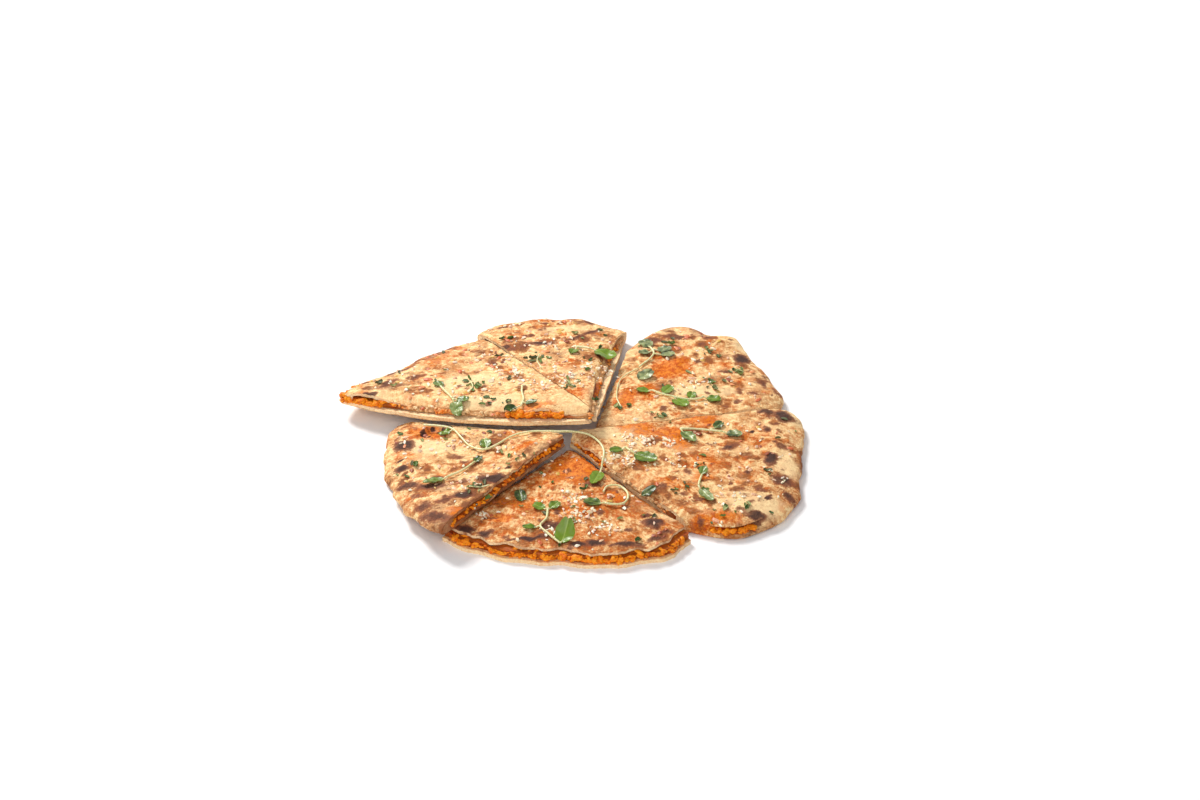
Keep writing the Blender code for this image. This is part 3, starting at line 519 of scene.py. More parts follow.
def folded_crust(name):
    """Both sheets of a slice and the fold between them."""
    form = SLICES[name]
    u = columns_of(COLUMNS)
    fold_ends = UNDER_ROWS + RIM_ROWS
    below = shorter(form, u, (0, 0), UNDER_FROM_RIM, UNDER_ROWS)[::-1]
    turn = np.linspace(0, 1, RIM_ROWS)
    fold_back, fold_high = (
        np.repeat(spread([p[k] for p in RIM_ROUND], turn)[:, None], COLUMNS, 1) for k in (0, 1)
    )
    if name in BURSTS:
        middle, wide = BURSTS[name]
        low, high = BURST_LEVELS
        opened = np.clip(4 * (1 - np.abs(u - middle) / wide) + 0.6 * grain(u * 120, 0, 2.4, 58), 0, 1)
        slot = np.clip((fold_high - low) / 0.5, 0, 1) * np.clip((high - fold_high) / 0.5, 0, 1)
        fold_back = fold_back + BURST_DEEP * opened * slot
    above = shorter(form, u, form["drawn_back"], CRUST_FROM_RIM, CRUST_ROWS)
    back = np.concatenate([below, fold_back, above])
    upper = np.zeros_like(back)
    upper[fold_ends:] = 1
    edge_back = RIM_ROUND[-1][0]
    share = upper * np.clip((back - edge_back) / (POCKET_FROM_RIM - edge_back), 0, 1)
    x, y = both_sheets(form, u, back, share)
    level = np.zeros_like(back)
    level[UNDER_ROWS:fold_ends] = fold_high
    level[fold_ends:] = crust_level(above, x[fold_ends:], y[fold_ends:])
    rough = relief(name, x, y, bake_marks(name, x, y)[..., 0])
    fade = np.clip((np.arange(len(back)) - UNDER_ROWS - 0.45 * RIM_ROWS) / RIM_ROWS, 0, 1)[:, None]
    z = lift(form, u, x, y) + level + rough * fade - droop(form, u, back, x, y) * upper
    outer = np.stack([x, y, z], -1)

    long = shorter(form, u, form["drawn_back"], POCKET_FROM_RIM, 2)[1]
    deep = long - POCKET_FROM_RIM
    floor_back = POCKET_FROM_RIM + (back - UNDER_FROM_RIM) * deep / (back.max(0) - UNDER_FROM_RIM)
    roof_back = POCKET_FROM_RIM + (back - CRUST_FROM_RIM) * deep / (long - CRUST_FROM_RIM)
    under = (np.arange(len(back)) < UNDER_ROWS)[:, None]
    inner_back = np.where(under, floor_back, np.where(upper > 0, roof_back, POCKET_FROM_RIM - 0.3))
    height = np.concatenate([np.zeros(UNDER_ROWS), turn, np.ones(CRUST_ROWS)])[:, None]
    ix, iy = both_sheets(form, u, inner_back, upper)
    top = crust_level(np.maximum(inner_back, POCKET_FROM_RIM), ix, iy) - UPPER_SHEET
    top = top - droop(form, u, inner_back, ix, iy) - 1.2 * torn(name, ix, iy)
    iz = lift(form, u, ix, iy) + UNDER_SHEET * (1 - height) + top * height
    inner = np.stack([ix, iy, iz], -1)

    verts, faces, inside = thick_skin(outer, inner, 4, pushed_out(form, flaky))
    piece = mesh_piece("dough_" + name, verts, outwards(verts, faces).tolist(), 50)
    marks = bake_marks(name, verts[:, 0], verts[:, 1])
    fold = np.zeros(len(back))
    fold[:fold_ends] = 1 - np.clip((np.arange(fold_ends) - UNDER_ROWS) / RIM_ROWS, 0, 1)
    folded = np.concatenate([np.repeat(fold, COLUMNS), np.zeros(len(verts) - back.size)])
    rim = np.concatenate([np.clip(1 - back.ravel() / 6, 0, 1), np.zeros(len(verts) - back.size)])
    marks[:, 1] += (0.34 * rim + 0.2 * folded) * (0.5 + 0.5 * grain(verts[:, 0], verts[:, 1], 6.0, 47))
    marks[:, 0] *= 1 - 0.7 * folded
    paint(piece, "marks", marks)
    paint(piece, "inside", inside)
    return piece


def sheet_of_dough(name, part, first, low, high, drawn_back, recess, rows):
    """One loose sheet of the open slice, from its lower to its upper face."""
    form = SLICES[name]
    u = columns_of(COLUMNS)
    edge = first + (first > 0) * (1.5 * grain(u * 120, 0, 8, 71) + 0.9 * grain(u * 120, 0, 3.1, 72))
    back = shorter(form, u, drawn_back, edge, rows)
    x, y = ragged_cut(form, u, *plan(form, u, back, drawn_back, recess))
    base, rough = lift(form, u, x, y), 0.0
    if part == "upper":
        base = base - droop(form, u, back, x, y)
        rough = relief(name, x, y, bake_marks(name, x, y)[..., 0]) * np.clip(back / 4, 0, 1)
    outer = np.stack([x, y, base + high(back, x, y) + rough], -1)
    inner = np.stack([x, y, base + low(back, x, y)], -1)
    verts, faces, inside = thick_skin(outer, inner, 5, pushed_out(form, flaky))
    piece = mesh_piece("dough_" + name + "_" + part, verts, outwards(verts, faces).tolist(), 50)
    marks = bake_marks(name, verts[:, 0], verts[:, 1])
    if part == "lower":
        marks[:, 0] *= 0.3
        marks[:, 1] *= 0.5
        marks[:, 3] += 0.5
    paint(piece, "marks", marks)
    paint(piece, "inside", inside * (1.0 if part == "lower" else 0.7))
    return piece


def flat(level):
    """A height over the underside that is the same all over."""
    return lambda back, x, y: level + 0 * x


def open_level(back, x, y):
    """Height of the crust of the open slice, which sinks towards its rim."""
    return THICK + swell(x, y) - LIP_SINKS * np.clip(1 - back / LIP_WIDE, 0, 1) ** 2


def srgb(red, green, blue):
    """A colour as read on a screen, turned into light."""
    parts = [value / 255 for value in (red, green, blue)]
    return tuple(p / 12.92 if p <= 0.04045 else ((p + 0.055) / 1.055) ** 2.4 for p in parts) + (1.0,)


def new_finish(name, roughness):
    """A material, its nodes and its shader."""
    finish = bpy.data.materials.new(name)
    finish.use_nodes = True
    tree = finish.node_tree
    shader = tree.nodes["Principled BSDF"]
    shader.inputs["Roughness"].default_value = roughness
    return finish, tree, shader


def add_node(tree, kind, **settings):
    """A new node, with its inputs and settings by name."""
    node = tree.nodes.new(kind)
    for key, value in settings.items():
        if key in node.inputs.keys():
            node.inputs[key].default_value = value
        else:
            setattr(node, key, value)
    return node


def in_millimetres(tree):
    """Where a point of the piece lies, in millimetres."""
    place = add_node(tree, "ShaderNodeTexCoord")
    scale = add_node(tree, "ShaderNodeMapping")
    scale.inputs["Scale"].default_value = [1 / MM] * 3
    tree.links.new(place.outputs["Object"], scale.inputs["Vector"])
    return scale.outputs["Vector"]


def painted(tree, name):
    """The value kept with each point under this name."""
    return add_node(tree, "ShaderNodeAttribute", attribute_name=name).outputs["Fac"]


def four_painted(tree, name):
    """The four values kept with each point under this name."""
    kept = add_node(tree, "ShaderNodeAttribute", attribute_name=name)
    parts = add_node(tree, "ShaderNodeSeparateColor")
    tree.links.new(kept.outputs["Color"], parts.inputs["Color"])
    return (*(parts.outputs[k] for k in range(3)), kept.outputs["Alpha"])


def speckle(tree, where, per_mm, detail, roughness=0.6):
    """Cloudy unevenness from 0 to 1."""
    node = add_node(tree, "ShaderNodeTexNoise", Scale=per_mm, Detail=detail, Roughness=roughness)
    tree.links.new(where, node.inputs["Vector"])
    return node.outputs["Fac"]


def sums(tree, start, *terms):
    """start plus each (signal, weight)."""
    total = None
    for signal, weight in terms:
        node = add_node(tree, "ShaderNodeMath", operation="MULTIPLY_ADD")
        tree.links.new(signal, node.inputs[0])
        node.inputs[1].default_value = weight
        if total is None:
            node.inputs[2].default_value = start
        else:
            tree.links.new(total, node.inputs[2])
        total = node.outputs[0]
    return total


def between(tree, signal, low, high, top=1.0):
    """0 below low, `top` above high, and smooth between."""
    node = add_node(tree, "ShaderNodeMapRange", interpolation_type="SMOOTHSTEP")
    node.inputs["From Min"].default_value = low
    node.inputs["From Max"].default_value = high
    node.inputs["To Max"].default_value = top
    tree.links.new(signal, node.inputs["Value"])
    return node.outputs["Result"]


def blend(tree, share, under, over):
    """One colour over another."""
    node = add_node(tree, "ShaderNodeMix", data_type="RGBA")
    if isinstance(share, float):
        node.inputs[0].default_value = share
    else:
        tree.links.new(share, node.inputs[0])
    for socket, colour in ((node.inputs[6], under), (node.inputs[7], over)):
        if isinstance(colour, tuple):
            socket.default_value = colour
        else:
            tree.links.new(colour, socket)
    return node.outputs[2]


def layered(tree, colour, layers):
    """Colours laid over one another. Each layer is what its signals add up to,
    the sums where it starts and is full, how much it covers, and its colour."""
    for start, terms, low, high, top, over in layers:
        colour = blend(tree, between(tree, sums(tree, start, *terms), low, high, top), colour, over)
    return colour


def cover(tree, shader, colour, signal, height_mm):
    """Gives the shader its colour, and raises its grain by a signal."""
    tree.links.new(colour, shader.inputs["Base Color"])
    bump = add_node(tree, "ShaderNodeBump")
    bump.inputs["Distance"].default_value = height_mm * MM
    bump.inputs["Strength"].default_value = 1.0
    tree.links.new(signal, bump.inputs["Height"])
    tree.links.new(bump.outputs["Normal"], shader.inputs["Normal"])


def crust_finish():
    """Baked dough: cream to tan, toasted, charred, soaked with spiced fat, with painted shade on a cut face
    that lies in shadow.
    """
    finish, tree, shader = new_finish("baked_crust", 0.72)
    shader.inputs["Specular IOR Level"].default_value = 0.15
    where = in_millimetres(tree)
    fine = speckle(tree, where, 1.25, 5.0, 0.65)
    middle = speckle(tree, where, 0.42, 4.0, 0.62)
    large = speckle(tree, where, 0.13, 3.0, 0.55)
    flecks = speckle(tree, where, 0.85, 2.0, 0.5)
    char, toast, soak, pale = four_painted(tree, "marks")
    fat = between(tree, sums(tree, 0.0, (fine, 0.5), (middle, 0.5)), 0.42, 0.6)
    fat = blend(tree, fat, srgb(232, 128, 14), srgb(190, 72, 2))
    crumb = blend(tree, between(tree, fine, 0.42, 0.62), srgb(255, 228, 184), srgb(242, 196, 144))
    # The crumb browns where toasted. On the cut of the front left slice this is partly painted shade.
    baked = (-0.3, ((toast, 0.7), (middle, 0.6)), 0.35, 0.85, 0.9, srgb(150, 84, 42))
    crumb = layered(tree, crumb, (baked,))
    colour = layered(tree, srgb(255, 221, 164), (
        (0.0, ((middle, 0.6), (fine, 0.4)), 0.38, 0.62, 1.0, srgb(223, 163, 102)),
        (0.0, ((large, 0.5), (middle, 0.5)), 0.5, 0.62, 0.7, srgb(219, 154, 106)),
        (-0.86, ((toast, 0.9), (middle, 0.8), (fine, 0.6)), 0.14, 0.6, 1.0, srgb(190, 121, 66)),
        (-0.98, ((toast, 0.85), (large, 0.5), (flecks, 1.0)), 0.26, 0.58, 1.0, srgb(135, 82, 48)),
        (-1.05, ((soak, 0.95), (flecks, 0.85), (middle, 0.9), (large, 0.4)), 0.12, 0.85, 0.88, fat),
        (-0.7, ((pale, 0.8), (middle, 0.9), (fine, 0.3)), 0.15, 0.7, 0.7, srgb(251, 219, 167)),
        (-0.62, ((char, 1.0), (middle, 0.55), (fine, 0.5)), 0.05, 0.38, 0.88, srgb(146, 84, 56)),
        (-0.76, ((char, 1.0), (middle, 0.65), (fine, 0.75)), 0.2, 0.84, 0.94, srgb(68, 47, 42)),
        (0.0, ((flecks, 0.55), (fine, 0.45)), 0.6, 0.68, 0.7, srgb(128, 66, 38)),
        (0.0, ((painted(tree, "inside"), 1.0),), 0.05, 0.3, 0.85, crumb),
    ))
    cover(tree, shader, colour, sums(tree, 0.0, (fine, 0.6), (middle, 0.5), (flecks, 0.3)), 0.85)
    return finish


baked_crust = crust_finish()
crusts = {name: folded_crust(name) for name in SLICES if name != "front"}
crusts["front_lower"] = sheet_of_dough(
    "front", "lower", 0.0, flat(0.0), flat(UNDER_SHEET), (0, 0), (0, 0), LOWER_ROWS,
)
crusts["front_upper"] = sheet_of_dough(
    "front", "upper", UPPER_FIRST, lambda *where: open_level(*where) - UPPER_SHEET, open_level,
    SLICES["front"]["drawn_back"], SLICES["front"]["recess"], CRUST_ROWS,
)
for name, piece in crusts.items():
    piece.data.materials.append(baked_crust)
    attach(piece, "root")
    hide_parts("bread_" + name)

# The filling. Minced chicken in orange spice fills the pocket of each slice.
# It is packed soft and coarse, and shows as chunks along the cuts, at the open
# rim of the front slice and at the burst rim of the right one.
# Each slice: how far in from the rim its filling starts, how orange it is, and how much painted shade its
# loose shreds get.
FILLING = {
    "left": dict(first=10.0, orange=0.28, shade=0),
    "back": dict(first=10.0, orange=0.40, shade=0),
    "rear_right": dict(first=10.0, orange=0.45, shade=0.2),
    "right": dict(first=10.0, orange=0.40, shade=0.1),
    "front": dict(first=1.6, orange=0.85, shade=0),
    "front_left": dict(first=10.0, orange=0.75, shade=0.5),
}
# Where the filling is wettest with spice: x, y and how wide.
SPICED = (
    (-97, 14, 30), (-14, -6, 24), (-8, -9, 10), (17, 15, 14), (24, 60, 16), (70, -82, 40), (84, -74, 20),
    (0, -100, 50), (-40, -92, 50), (40, -96, 40), (-62, -11.5, 16), (-10, -30, 20), (12, -24, 16),
)
BURST_SPREAD = 0.5
BURST_FIRST = 2.0
BURST_TOP = 4.6
DRAWN_IN = 0.6
SHRED_SEED = 300
FILLING_COLUMNS = 80
FILLING_ROWS = 50


def chunk(draw, size, fineness):
    """One torn shred of meat, as loose points and faces."""
    mesh = bmesh.new()
    bmesh.ops.create_icosphere(mesh, subdivisions=fineness, radius=1.0)
    points = np.array([tuple(v.co) for v in mesh.verts])
    faces = [[v.index for v in f.verts] for f in mesh.faces]
    mesh.free()
    shift = draw.uniform(0, 90)
    x, y, z = points.T
    wobble = 1 + 0.34 * grain(x * 3 + shift, y * 3 + z * 2, 1.1, 81)
    wobble = wobble + 0.22 * grain(z * 5 + shift, y * 6 + x * 3, 1.0, 84)
    stretch = [draw.uniform(*limits) for limits in ((0.9, 1.45), (0.45, 0.85), (0.4, 0.75))]
    points = points * wobble[:, None] * np.array(stretch)
    a, b = draw.uniform(0, 6.3), draw.uniform(-0.5, 0.5)
    turn = np.array(Matrix.Rotation(a, 3, "Z") @ Matrix.Rotation(b, 3, "X"))
    return points @ turn.T * size, faces


def joined(parts):
    """Several meshes, each given as its points and faces, as one."""
    points, faces, base = [], [], 0
    for own, corners in parts:
        points.append(own)
        faces += [[base + i for i in face] for face in corners]
        base += len(own)
    return np.concatenate(points), faces


def shreds_along(form, where, count, sizes, levels, seed):
    """Chunks set along an edge. where gives x, y and the share for a draw."""
    draw = np.random.default_rng(seed)
    parts = []
    for _ in range(count):
        x, y, u = where(draw)
        size = draw.uniform(*sizes)
        points, faces = chunk(draw, size, 2 if size > 0.95 else 1)
        high = float(lift(form, u, x, y)) + draw.uniform(*levels)
        parts.append((points + [float(x), float(y), high], faces))
    return joined(parts)


def spiced(x, y, plain):
    """How orange the filling is at a point."""
    best = np.full(np.shape(x), plain)
    for cx, cy, wide in SPICED:
        best = np.maximum(best, 1.1 - 0.9 * np.clip(np.hypot(x - cx, y - cy) / wide, 0, 1) ** 2)
    return best


def drawn_in(form):
    """How far the filling stops short of the cut sides, at the tip and midway."""
    return tuple(DRAWN_IN * d for d in form["drawn_back"]), tuple(DRAWN_IN * r for r in form["recess"])


def lumpy(t, points):
    """How far the shreds of the filling stand out at its sides."""
    along = points[:, 0] * 1.3 + points[:, 1]
    return 0.45 * grain(along, 7 * t, 2.2, 82) + 0.3 * grain(along, 7 * t, 0.9, 83) - 0.25


def filling_block(name):
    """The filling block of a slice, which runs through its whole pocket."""
    form = SLICES[name]
    u = columns_of(FILLING_COLUMNS)
    first = np.full(FILLING_COLUMNS, FILLING[name]["first"])
    ceiling = THICK
    if name in BURSTS:
        middle, wide = BURSTS[name]
        first = first - (first - BURST_FIRST) * np.exp(-(((u - middle) / (BURST_SPREAD * wide)) ** 2))
        ceiling = BURST_TOP
    drawn_back, sides = drawn_in(form)
    back = shorter(form, u, drawn_back, first, FILLING_ROWS)
    x, y = ragged_cut(form, u, *plan(form, u, back, drawn_back, sides))
    base = lift(form, u, x, y)
    level = open_level if name == "front" else crust_level
    top = level(back, x, y) - UPPER_SHEET - 0.3 - droop(form, u, back, x, y) - 1.0 * torn(name, x, y)
    top = np.maximum(np.minimum(top, ceiling), UNDER_SHEET + 0.6)
    outer = np.stack([x, y, base + top], -1)
    inner = np.stack([x, y, base + UNDER_SHEET + 0.1], -1)
    verts, faces, _ = thick_skin(outer, inner, 7, pushed_out(form, lumpy, rim=True))
    return verts, faces.tolist()


def along_cut(form, side, near, far, inset):
    """Places along one cut of a slice, for shreds."""
    angle = cut_angles(form)[side]
    turn = 1 if side == 0 else -1

    def where(draw):
        back = draw.uniform(near, far)
        u = np.array(0.0 if side == 0 else 1.0)
        x, y = plan(form, u, back, *drawn_in(form))
        deep = draw.uniform(*inset) * turn
        return x - deep * math.sin(angle), y + deep * math.cos(angle), u

    return where


def along_rim(form, low, high, near, far):
    """Places along a stretch of the rim, for shreds."""

    def where(draw):
        u = np.array(draw.uniform(low, high))
        back = draw.uniform(near, far)
        x, y = plan(form, u, back, (0.5, 0.5), (0, 0))
        return x, y, u

    return where


def filling_finish():
    """Moist chicken in orange spice, from yellow-orange to deep red, with painted shade on the block behind
    the shreds.
    """
    finish, tree, shader = new_finish("spiced_chicken", 0.48)
    shader.inputs["Specular IOR Level"].default_value = 0.22
    where = in_millimetres(tree)
    fine = speckle(tree, where, 1.5, 4.0)
    middle = speckle(tree, where, 0.5, 4.0)
    large = speckle(tree, where, 0.17, 2.0, 0.5)
    orange, painted_shade = painted(tree, "orange"), painted(tree, "painted_shade")
    spice = layered(tree, srgb(253, 164, 30), (
        (0.0, ((middle, 0.6), (fine, 0.4)), 0.36, 0.64, 1.0, srgb(236, 112, 4)),
        (0.0, ((large, 0.5), (fine, 0.5)), 0.5, 0.66, 1.0, srgb(188, 66, 2)),
    ))
    plain = blend(tree, between(tree, fine, 0.4, 0.65), srgb(244, 214, 164), srgb(206, 142, 84))
    # Painted shade: the packed block behind the shreds is darkened to deep red-brown, and so are the shreds,
    # by their slice's share.
    shaded = blend(tree, between(tree, orange, 0.4, 0.8), srgb(200, 142, 86), srgb(132, 42, 2))
    colour = layered(tree, plain, (
        (-0.55, ((orange, 1.0), (middle, 0.7)), 0.1, 0.6, 1.0, spice),
        (-0.2, ((painted_shade, 0.8), (fine, 0.4)), 0.3, 0.9, 0.85, shaded),
    ))
    cover(tree, shader, colour, sums(tree, 0.0, (fine, 0.6), (middle, 0.5)), 0.6)
    return finish


spiced_chicken = filling_finish()
fillings = {}
# Loose shreds, in rows: the side of the cut and how far in from the rim, or the
# stretch of the rim; how deep; how many, their sizes and their levels.
SHREDS = {
    "front": (
        ("rim", 0.03, 0.97, 1.6, 4.8, 190, (0.9, 2.5), (2.2, 4.3)),
        ("rim", 0.03, 0.97, 0.9, 2.6, 150, (0.4, 1.1), (2.1, 4.6)),
        (0, 4, 84, (-0.2, 0.8), 60, (0.6, 1.2), (2.4, 4.4)),
        (1, 4, 84, (-0.2, 0.8), 60, (0.6, 1.2), (2.4, 4.4)),
    ),
    "left": (
        ("rim", 0.85, 1.0, 1.8, 6.0, 70, (0.9, 2.2), (2.3, 4.0)),
        (1, 3, 24, (-0.4, 2.0), 70, (0.9, 2.0), (2.2, 4.0)),
        (1, 84, 110, (-0.2, 2.4), 70, (0.8, 1.7), (2.5, 4.4)),
        (1, 22, 108, (0.2, 1.6), 90, (0.5, 1.3), (2.2, 4.0)),
        (0, 10, 108, (0.0, 0.8), 60, (0.6, 1.2), (2.3, 4.4)),
    ),
    "back": (
        (0, 8, 106, (0.2, 1.8), 100, (0.6, 1.4), (2.2, 4.0)),
        (1, 10, 106, (0.0, 0.8), 60, (0.6, 1.2), (2.3, 4.4)),
    ),
    "rear_right": (
        (0, 10, 88, (0.0, 0.8), 50, (0.6, 1.2), (2.3, 4.4)),
        (1, 10, 92, (0.0, 1.0), 60, (0.6, 1.3), (2.3, 4.4)),
    ),
    "right": (
        ("rim", 0.06, 0.19, 2.6, 5.0, 60, (0.8, 1.7), (2.3, 3.8)),
        (0, 10, 84, (0.0, 1.0), 70, (0.6, 1.3), (2.3, 4.4)),
        (1, 10, 100, (0.0, 0.8), 50, (0.6, 1.2), (2.3, 4.4)),
    ),
    "front_left": (
        (1, 6, 88, (-0.1, 0.9), 90, (0.7, 1.4), (2.3, 4.6)),
        (0, 10, 80, (0.0, 0.8), 40, (0.6, 1.2), (2.3, 4.4)),
    ),
}
for order, (name, settings) in enumerate(FILLING.items()):
    form = SLICES[name]
    block = filling_block(name)
    parts = [block]
    for number, row in enumerate(SHREDS[name]):
        where = along_rim(form, *row[1:5]) if row[0] == "rim" else along_cut(form, *row[:4])
        parts.append(shreds_along(form, where, *row[-3:], SHRED_SEED + 10 * order + number))
    verts, faces = joined(parts)
    piece = mesh_piece("chicken_" + name, verts, faces)
    paint(piece, "orange", spiced(verts[:, 0], verts[:, 1], settings["orange"]))
    # The block behind the shreds is marked for full painted shade, and the shreds by their slice's share.
    paint(piece, "painted_shade", np.where(np.arange(len(verts)) < len(block[0]), 1.0, settings["shade"]))
    piece.data.materials.append(spiced_chicken)
    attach(piece, "root")
    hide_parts("filling_" + name)
    fillings[name] = piece

# The sprigs of cress. Fresh and wilted shoots lie on the crust as they fell:
# a thin pale stem, and round green leaves on short stalks. Each is one piece.
# stem, leaves and alone give the run of the stem and each leaf: where it grows
# along the stem, its stalk, length, width, direction and how far it stands up.
# green: how bright the leaves are. wilted: how grey they have become.
SPRIGS = {
    "back": dict(
        stem=((3, 59.5), (6, 58.5), (9.5, 57)),
        leaves=((1, 2, 11, 10, -25, 1.5), (0, 1.5, 6, 5, 250, 0.5)), green=0.85, wilted=0.1,
    ),
    "left_front": dict(
        stem=((-60, 18), (-57.5, 12), (-54, 4.5)),
        leaves=((1, 1.5, 9, 6, -70, 1.0), (1, 1.5, 6, 4.5, -10, 0.8), (0, 1.2, 6.5, 5, 110, 0.6)),
        green=0.7, wilted=0.35,
    ),
    "left_middle": dict(
        stem=((-22, -4.5), (-21, 2), (-22, 9), (-22, 15)),
        leaves=((0, 1.5, 6, 4.5, 190, 0.6), (0.15, 1.0, 5.5, 4, -5, 0.8)), green=0.25, wilted=0.2,
    ),
    "rear": dict(
        stem=((38.5, 69.5), (40, 64.5), (38, 58.5), (35, 53.5), (33, 50)),
        leaves=(
            (0, 1.5, 8, 7, 115, 0.6), (0.15, 1.5, 5.5, 5, 200, 0.6), (0.1, 2, 7, 5.5, 5, 0.9),
            (0.3, 3, 7, 5, 0, 0.5),
        ),
        green=0.4, wilted=0.75,
    ),
    "rear_curl": dict(alone=(36, 42, 9, 7, 40, 2.2), green=0.35, wilted=1.0),
    "rear_front": dict(
        stem=((39, 26.5), (43, 24), (49, 22), (56, 20.5), (61, 21.5), (63, 23)),
        leaves=(
            (0.42, 0.9, 9, 7.5, -55, 1.0), (0.18, 1.0, 7.5, 5.5, 55, 0.8), (0.72, 1.0, 6, 4.5, 80, 0.5),
            (1, 1.0, 7, 5.5, -10, 0.6), (0, 1.2, 6, 4.5, 175, 0.4),
        ),
        green=0.75, wilted=0.2,
    ),
    "right_rear": dict(
        stem=((51.5, -7), (58, -6), (66, -6.5), (71, -7.5)),
        leaves=((0, 1.5, 10, 6, -57, 0.6), (1, 1.5, 7.5, 5.5, -15, 0.8), (0.7, 3.2, 6, 4.5, 50, 0.6)),
        green=0.4, wilted=0.35,
    ),
    "right_middle": dict(
        stem=((26.5, -25.5), (29, -28.5)),
        leaves=((1, 1.5, 11.5, 8, -32, 1.4), (0, 1.2, 6.5, 5, 205, 0.5)), green=0.6, wilted=0.1,
    ),
    "right_front": dict(
        stem=((60.5, -46), (59.5, -50), (59, -54)),
        leaves=((1, 1.2, 11, 5, -62, 0.7), (0, 1.2, 6, 4, 80, 0.5)), green=0.7, wilted=0.45,
    ),
    "right_inner": dict(alone=(36.8, -56.5, 7, 4.5, 20, 0.6), green=0.3, wilted=0.3),
    "long": dict(
        stem=(
            (-67, -6), (-60, -8), (-53, -12), (-48.5, -20), (-44.5, -27), (-38.5, -31), (-33, -28.5),
            (-25, -20.5), (-16, -18), (-6, -19), (3, -16.5), (9.5, -17), (14.5, -22.5), (16.5, -29),
            (15.5, -37),
        ),
        leaves=(
            (1, 1.5, 13, 6, -105, 1.0), (0.36, 1.2, 7, 5.5, 100, 0.7), (0.14, 1.0, 6, 4.5, 205, 0.5),
        ),
        green=0.8, wilted=0.1,
    ),
    "tendril": dict(
        stem=(
            (17, -67), (21, -67.5), (25.5, -66), (27.5, -61), (26.5, -55.5), (22.5, -51.5), (18, -53),
            (16.5, -58),
        ),
        leaves=((0, 1.2, 8, 6, 170, 0.8),), green=0.35, wilted=0.25,
    ),
    "front_left": dict(
        stem=((-53, -54.5), (-47, -49.5), (-42, -43)),
        leaves=((0, 1.5, 10, 6, 203, 1.2), (1, 1.2, 5, 4, 65, 0.5)), green=0.45, wilted=0.15,
    ),
    "front": dict(
        stem=((-8, -72), (-8.5, -79), (-11, -85.5), (-7, -91.5), (-2, -97.5)),
        leaves=(
            (0, 1.2, 6, 5, 150, 0.7), (0, 1.2, 6, 5, 50, 0.5), (0.5, 1.5, 6, 4, 190, 0.6),
            (1, 1.0, 8.5, 9, 70, 7.5),
        ),
        green=0.75, wilted=0.1,
    ),
    "front_inner": dict(alone=(-20.5, -60.5, 8, 5.5, 100, 1.0), green=0.4, wilted=0.2),
}
STEM_RADIUS = 0.5
STALK_RADIUS = 0.42
STEM_REACH = 2.2
LEAF_THICK = 0.45
LEAF_REACH = 1.6
LEAF_SAG = 0.9
CLEAR = 0.35
LEAF_ROWS = 19
# A stem may sink in by so much, and its weight bends it a little each round.
STEM_SINKS = 0.3
STEM_WEIGHT = 0.004
STEM_ROUNDS = 160


def tree_of(pieces):
    """All the given meshes as one, in millimetres, to find levels on."""
    parts = []
    for piece in pieces:
        own = np.empty(len(piece.data.vertices) * 3)
        piece.data.vertices.foreach_get("co", own)
        parts.append((own.reshape(-1, 3) / MM, [face.vertices for face in piece.data.polygons]))
    points, faces = joined(parts)
    return BVHTree.FromPolygons(points.tolist(), faces)


bread_surface = tree_of([*crusts.values(), *fillings.values()])


def level_at(x, y, reach=0.0):
    """The highest level of the bread within `reach` of a point."""
    spots = [(0.0, 0.0)]
    if reach:
        spots += [(reach * math.cos(a), reach * math.sin(a)) for a in np.arange(8) * math.pi / 4]
    best = 0.0
    for dx, dy in spots:
        hit = bread_surface.ray_cast(Vector((x + dx, y + dy, 90.0)), Vector((0, 0, -1)))[0]
        if hit is not None:
            best = max(best, hit.z)
    return best


def route(points, step):
    """Evenly spaced points on a smooth curve through the given ones."""
    points = np.array(points, float)
    share = np.linspace(0, 1, 20 * len(points))
    x, y = spread(points[:, 0], share), spread(points[:, 1], share)
    gone = np.concatenate([[0], np.cumsum(np.hypot(np.diff(x), np.diff(y)))])
    wanted = np.linspace(0, gone[-1], max(3, int(round(gone[-1] / step)) + 1))
    return np.interp(wanted, gone, x), np.interp(wanted, gone, y)


def stem_line(points):
    """A stem lies on the bread like a soft thread and bridges the steps."""
    x, y = route(points, 1.0)
    lowest = np.array([level_at(px, py, STEM_REACH) for px, py in zip(x, y)]) + CLEAR + STEM_RADIUS
    z = lowest.copy()
    for _ in range(STEM_ROUNDS):
        z[1:-1] = np.maximum(lowest[1:-1] - STEM_SINKS, 0.5 * (z[:-2] + z[2:]) - STEM_WEIGHT)
    return np.stack([x, y, z], -1)


def tube(line, thick, sides=9):
    """A round stalk along a line, with closed ends."""
    line = np.asarray(line, float)
    ahead = np.gradient(line, axis=0)
    ahead /= np.linalg.norm(ahead, axis=1)[:, None]
    side = np.cross(ahead, [0, 0, 1.0])
    side /= np.linalg.norm(side, axis=1)[:, None]
    over = np.cross(side, ahead)
    turn = 2 * np.pi * np.arange(sides) / sides
    thick = np.broadcast_to(thick, len(line))[:, None, None]
    ring = side[:, None] * np.cos(turn)[:, None] + over[:, None] * np.sin(turn)[:, None]
    points = (line[:, None] + thick * ring).reshape(-1, 3)
    points = np.concatenate([points, line[:1], line[-1:]])
    index = np.arange(len(line) * sides).reshape(len(line), sides)
    after = np.roll(index, -1, 1)
    faces = np.stack([index[:-1], after[:-1], after[1:], index[1:]], -1).reshape(-1, 4).tolist()
    first, last = len(points) - 2, len(points) - 1
    faces += [[after[0, k], index[0, k], first] for k in range(sides)]
    faces += [[index[-1, k], after[-1, k], last] for k in range(sides)]
    return points, faces


